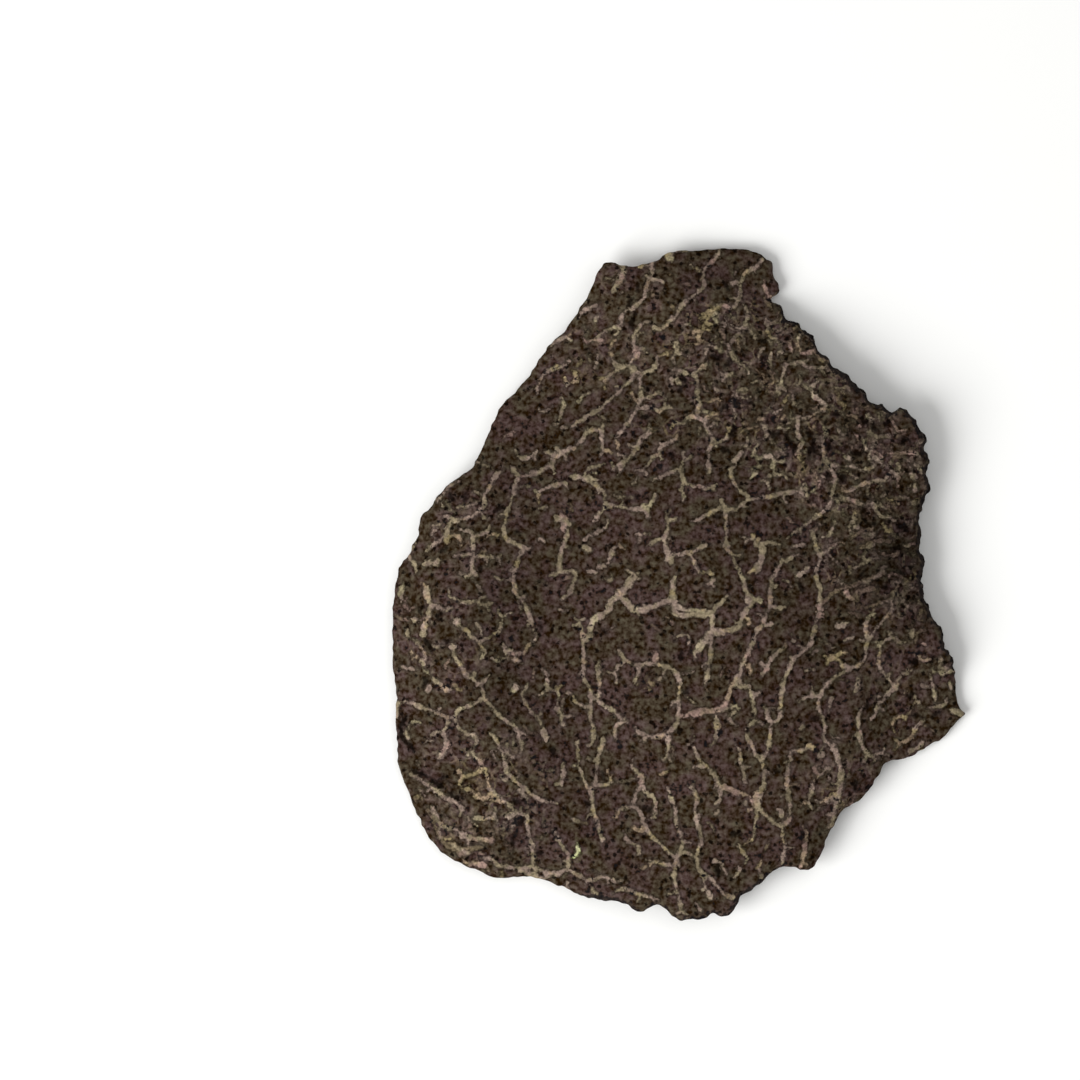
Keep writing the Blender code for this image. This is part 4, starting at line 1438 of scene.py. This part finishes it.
def vein_colour(tree, read):
    """The vein's tint, uneven along its run, brightest in its core, and grainy."""
    run = add_node(tree, "ShaderNodeSeparateColor", in0=read["run"]).outputs
    leaning = add_node(tree, "ShaderNodeMapRange", Value=run["Green"], **VEIN_HUE).outputs[0]
    hue = add_node(
        tree, "ShaderNodeMix", COLOURS, in0=leaning, in6=OLIVE_VEIN, in7=PURPLE_VEIN
    ).outputs[2]
    hued = add_node(tree, "ShaderNodeVectorMath", TIMES, in0=read["vein_tint"], in1=hue).outputs[0]
    core = add_node(tree, "ShaderNodeMapRange", Value=read["vein_gap"], **VEIN_CORE).outputs[0]
    run_tone = add_node(tree, "ShaderNodeMapRange", Value=run["Red"], **VEIN_TONE).outputs[0]
    grain = add_node(tree, "ShaderNodeMapRange", Value=read["fibres"], **VEIN_GRAIN).outputs[0]
    body = add_node(tree, "ShaderNodeMath", TIMES, in0=core, in1=run_tone).outputs[0]
    tone = add_node(tree, "ShaderNodeMath", TIMES, in0=body, in1=grain).outputs[0]
    return add_node(tree, "ShaderNodeVectorMath", SCALED, in0=hued, Scale=tone).outputs[0]


# %% [markdown]
# A vein shows where the stored gap is below zero, after a fine noise has frayed its edge. The net of
# fine threads is the edges of a Voronoi pattern, bent by noise, broken up by the mottle, and kept to
# the beds.

# %% Where the veins and the fine threads show
def vein_places(tree, read):
    """The frayed gap, and the shares of vein and of fine thread that show."""
    frayed = add_node(tree, "ShaderNodeMath", TIMES_PLUS, in0=read["fray"], **FRAY).outputs[0]
    ragged_gap = add_node(tree, "ShaderNodeMath", PLUS, in0=read["vein_gap"], in1=frayed).outputs[0]
    vein = add_node(tree, "ShaderNodeMapRange", EASED, Value=ragged_gap, **VEIN_EDGE).outputs[0]
    strength = read["vein_strength"]
    vein_share = add_node(tree, "ShaderNodeMath", TIMES, in0=vein, in1=strength).outputs[0]

    bent = add_node(
        tree, "ShaderNodeVectorMath", TIMES_PLUS, in0=read["bend"], in1=NET_BEND, in2=read["place"]
    ).outputs[0]
    to_edge = {"feature": "DISTANCE_TO_EDGE"}
    net = add_node(
        tree, "ShaderNodeTexVoronoi", to_edge, Vector=bent, Scale=1.0 / (NET_CELL * MM)
    ).outputs["Distance"]
    thread = add_node(tree, "ShaderNodeMapRange", EASED, Value=net, **NET_THREAD).outputs[0]
    broken = add_node(tree, "ShaderNodeMapRange", EASED, Value=read["mottle"], **NET_BREAKS).outputs[0]
    thread_here = add_node(tree, "ShaderNodeMath", TIMES, in0=thread, in1=broken).outputs[0]
    thread_share = add_node(tree, "ShaderNodeMath", TIMES, in0=thread_here, in1=read["bed"]).outputs[0]
    return ragged_gap, vein_share, thread_share


# %% [markdown]
# Three steps finish the colour. Small dark pits lie mostly off the veins. Painted shade darkens the
# flesh right beside a vein, painted light and shade brighten or darken it in broad patches, and it is
# crumbly in the beds. Last comes the dark skin, speckled and patchy where it gives way to flesh.

# %% Pits, tone and skin
def with_pits(tree, read, colour, vein_share):
    """The colour with small dark pits, fewer of them on the veins."""
    pores = add_node(
        tree, "ShaderNodeTexVoronoi", Vector=read["place"], Scale=1.0 / (PIT_SPACING * MM)
    ).outputs["Distance"]
    uneven = add_node(tree, "ShaderNodeMath", TIMES_PLUS, in0=read["fibres"], **PIT_UNEVEN).outputs[0]
    uneven_pores = add_node(tree, "ShaderNodeMath", PLUS, in0=pores, in1=uneven).outputs[0]
    pore = add_node(tree, "ShaderNodeMapRange", EASED, Value=uneven_pores, **PIT_EDGE).outputs[0]
    off_vein = add_node(tree, "ShaderNodeMath", TIMES_PLUS, in0=vein_share, **OFF_VEIN).outputs[0]
    pore_share = add_node(tree, "ShaderNodeMath", TIMES, in0=pore, in1=off_vein).outputs[0]
    return add_node(
        tree, "ShaderNodeMix", COLOURS, in0=pore_share, in6=colour, in7=linear(PIT_COLOUR)
    ).outputs[2]


def toned(tree, read, colour, ragged_gap, vein_share):
    """The colour with painted shade by the veins, painted light and shade in patches, crumbly in beds.
    """
    painted_shade_by_vein = add_node(tree, "ShaderNodeMapRange", EASED, Value=ragged_gap, **SHADE_BESIDE_VEIN).outputs[0]
    greater = {"operation": "MAXIMUM"}
    beside = add_node(tree, "ShaderNodeMath", greater, in0=painted_shade_by_vein, in1=vein_share).outputs[0]
    # Painted shade beside the veins, times the painted light and shade of the broad patches.
    painted_tone = add_node(tree, "ShaderNodeMath", TIMES, in0=beside, in1=read["painted_light_and_shade"]).outputs[0]
    crumb = add_node(tree, "ShaderNodeMath", TIMES_PLUS, in0=read["fibres"], **CRUMBS).outputs[0]
    crumb_tone = add_node(
        tree, "ShaderNodeMath", TIMES_PLUS, in0=crumb, in1=read["bed"], in2=1.0
    ).outputs[0]
    tone = add_node(tree, "ShaderNodeMath", TIMES, in0=painted_tone, in1=crumb_tone).outputs[0]
    return add_node(tree, "ShaderNodeVectorMath", SCALED, in0=colour, Scale=tone).outputs[0]


def with_skin(tree, read, colour):
    """The colour with the dark skin over it, speckled and patchy at its edge."""
    speckle = add_node(tree, "ShaderNodeMath", TIMES_PLUS, in0=read["clumps"], **SKIN_SPECKLE).outputs[0]
    patchy = add_node(
        tree, "ShaderNodeMath", TIMES_PLUS, in0=read["mottle"], in1=SKIN_MOTTLE, in2=speckle
    ).outputs[0]
    skin = add_node(tree, "ShaderNodeMath", PLUS, in0=read["skin"], in1=patchy).outputs[0]
    share = add_node(tree, "ShaderNodeMapRange", EASED, Value=skin, **SKIN_EDGE).outputs[0]
    return add_node(
        tree, "ShaderNodeMix", COLOURS, in0=share, in6=colour, in7=read["skin colour"]
    ).outputs[2]


# %% [markdown]
# The steps are put together here. The sheen is nearly nothing, the roughness follows the clumps, and
# a shallow bump of the same clumps gives the grain its small lights and darks.

# %% Material of the cut flesh
def cut_flesh_material():
    """Cut truffle flesh: brown and grainy, with pale veins and dark pits, and skin at the rim."""
    material = bpy.data.materials.new("cut truffle flesh, slightly moist")
    material.use_nodes = True
    tree = material.node_tree
    tree.nodes.clear()
    output = tree.nodes.new("ShaderNodeOutputMaterial")

    read = readings(tree)
    ragged_gap, vein_share, thread_share = vein_places(tree, read)
    pale = vein_colour(tree, read)
    colour = flesh_colour(tree, read)
    for share in (thread_share, vein_share):
        colour = add_node(tree, "ShaderNodeMix", COLOURS, in0=share, in6=colour, in7=pale).outputs[2]
    colour = with_pits(tree, read, colour, vein_share)
    colour = toned(tree, read, colour, ragged_gap, vein_share)
    colour = with_skin(tree, read, colour)

    clumps = read["clumps"]
    roughness = add_node(tree, "ShaderNodeMapRange", Value=clumps, **ROUGHNESS).outputs[0]
    bump = add_node(
        tree, "ShaderNodeBump", Height=clumps, Strength=BUMP_STRENGTH, Distance=BUMP_HEIGHT * MM
    ).outputs[0]
    shader = add_node(
        tree, "ShaderNodeBsdfPrincipled", Base_Color=colour, Roughness=roughness, Normal=bump,
        IOR=1.4, Specular_IOR_Level=0.01,
    )
    tree.links.new(shader.outputs[0], output.inputs["Surface"])
    return material


flesh_material = cut_flesh_material()
print("material:", flesh_material.name, "with", len(flesh_material.node_tree.nodes), "nodes")

# %% [markdown]
# The share of skin is stored on the mesh before the nodes run. It is full on the rim rows of the
# skin stretch and fades inwards over half a millimetre, because the skin of a truffle is thin and the
# dark of it reaches a little way into the flesh. A second stretch along the bottom is a dark rind,
# a little weaker, where the blade ran out just under the skin.

# %% Share of skin on the mesh
SKIN_FULL = 0.1
SKIN_REACH = 0.5
RIND_FROM = (7.0, -19.6)
RIND_TO = (-7.0, -21.8)
RIND_SHARE = 0.85

mesh_points = np.empty(len(truffle.data.vertices) * 3)
truffle.data.vertices.foreach_get("co", mesh_points)
mesh_points = mesh_points.reshape(-1, 3) / MM


def skin_on_points():
    """Skin share for each point, from the nearest rim point's share and the distance to it."""
    rim_dark = np.maximum(rim_skin, RIND_SHARE * stretch_share(rim, RIND_FROM, RIND_TO))
    gap, nearest = nearest_in_plan(mesh_points, rim)
    return rim_dark[nearest] * (1.0 - smooth_step(gap, SKIN_FULL, SKIN_REACH))


skin_values = skin_on_points()
store(truffle.data, "skin", skin_values)
print("points with skin:", int((skin_values > 0.5).sum()))

# %% [markdown]
# Painted light and shade: the flesh is made darker in some parts and paler in others, where light
# falls across the bowed slice. It is darkest along the right flank, next to the skin, where the slice
# slopes away from the light, and palest near the top. The bottom is a little paler than the middle
# too. A few broad soft patches give that: each multiplies the brightness around its own middle.

# %% Painted light and shade on the mesh
PAINTED_LIGHT_AND_SHADE_PATCHES = [
    # middle x, middle y, reach, brightness in the middle
    (15.5, 1.5, 7.0, 0.50),
    (11.5, 10.5, 6.0, 0.85),
    (4.0, 10.0, 9.0, 0.92),
    (-12.5, -13.5, 10.0, 0.97),
    (3.0, -16.0, 9.0, 1.12),
    (-2.5, 19.5, 7.5, 1.22),
    (15.0, -9.0, 6.0, 1.10),
]

# Painted light and shade: each patch darkens or brightens the flesh around its middle.
painted_light_and_shade = np.ones(len(mesh_points))
for x, y, reach, level in PAINTED_LIGHT_AND_SHADE_PATCHES:
    painted_light_and_shade *= 1.0 + (level - 1.0) * patch_share(mesh_points, x, y, 0.0, reach)
store(truffle.data, "painted_light_and_shade", painted_light_and_shade)
print("brightness from", painted_light_and_shade.min().round(2), "to", painted_light_and_shade.max().round(2))

# %% [markdown]
# In the beds of curls there is also a net of threads too fine to draw, so the beds' own map is
# stored too, and the material shows the net by it.

# %% Beds of fine threads on the mesh
NET_EDGE = (0.5, 1.25)

bed_share = clamp01(bed_density(mesh_points, *NET_EDGE))
store(truffle.data, "bed", bed_share)
print("points in the beds:", int((bed_share > 0.5).sum()))

# %% [markdown]
# With all it reads in place, the marbling tree runs on the slice. Its result is kept as a plain
# mesh, shaded smooth, and the tree and the guide have done their work.

# %% The marbled slice as a plain mesh
def apply_marbling():
    """Run the marbling tree on the slice and keep its result as a plain mesh."""
    tree = marbling_tree(guide, flesh_material)
    modifier = truffle.modifiers.new("marbling", "NODES")
    modifier.node_group = tree
    settings = {
        "Wander": WANDER * MM,
        "Wander scale": 1.0 / (WANDER_SIZE * MM),
        "Vein relief": VEIN_RELIEF * MM,
        "Flesh relief": FLESH_RELIEF * MM,
        "Pit depth": PIT_DEPTH * MM,
    }
    for item in tree.interface.items_tree:
        if item.in_out == "INPUT" and item.name in settings:
            modifier[item.identifier] = settings[item.name]
    evaluated = truffle.evaluated_get(bpy.context.evaluated_depsgraph_get())
    finished = bpy.data.meshes.new_from_object(evaluated)
    truffle.modifiers.clear()
    truffle.data = finished
    bpy.data.objects.remove(guide)
    return finished


marbled_mesh = apply_marbling()
for polygon in marbled_mesh.polygons:
    polygon.use_smooth = True
print("attributes:", [a.name for a in marbled_mesh.attributes], len(marbled_mesh.polygons), "faces")

# %% [markdown]
# The slice lies on a plain white surface, brightly and evenly lit. A slice this small needs soft
# light from near by: the main one is a broad panel to the left, whose light gives the long soft
# shadow along the right rim. The world adds an even white from all round.

# %% Floor and lights
FLOOR_COLOUR = "#f4f4f2"
FLOOR_ROUGHNESS = 0.8
FLOOR_REACH = 0.6
WORLD_STRENGTH = 0.42
PANELS = [
    # name, place and size in metres, watts
    ("window light", (-0.36, -0.21, 0.31), 0.36, 3.3),
    ("fill light", (0.10, 0.10, 0.55), 0.5, 0.55),
]


def floor_piece():
    """A large white floor, which is stage and no part of the truffle."""
    mesh = bpy.data.meshes.new("white surface")
    corners = [(x * FLOOR_REACH, y * FLOOR_REACH, 0.0) for x, y in ((-1, -1), (1, -1), (1, 1), (-1, 1))]
    mesh.from_pydata(corners, [], [(0, 1, 2, 3)])
    floor = bpy.data.objects.new("white_surface", mesh)
    bpy.context.scene.collection.objects.link(floor)
    material = bpy.data.materials.new("matt white laminate")
    material.use_nodes = True
    shader = material.node_tree.nodes["Principled BSDF"]
    shader.inputs["Base Color"].default_value = linear(FLOOR_COLOUR)
    shader.inputs["Roughness"].default_value = FLOOR_ROUGHNESS
    mesh.materials.append(material)
    return floor


def panel(name, place, size, watts):
    """A square light that faces the slice."""
    data = bpy.data.lights.new(name, "AREA")
    data.shape = "SQUARE"
    data.size = size
    data.energy = watts
    light = bpy.data.objects.new(name, data)
    light.location = place
    light.rotation_euler = (-Vector(place)).to_track_quat("-Z", "Y").to_euler()
    bpy.context.scene.collection.objects.link(light)
    return light


floor = floor_piece()
for name, place, size, watts in PANELS:
    panel(name, place, size, watts)
world = bpy.data.worlds.new("white room")
world.use_nodes = True
background = world.node_tree.nodes["Background"].inputs
background["Color"].default_value = (1.0, 1.0, 1.0, 1.0)
background["Strength"].default_value = WORLD_STRENGTH
bpy.context.scene.world = world
bpy.context.scene.view_settings.view_transform = "Standard"
print("lights:", [light.name for light in bpy.data.lights])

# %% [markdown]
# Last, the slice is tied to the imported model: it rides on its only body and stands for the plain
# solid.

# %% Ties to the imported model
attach(truffle, "root")
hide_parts(NODE)
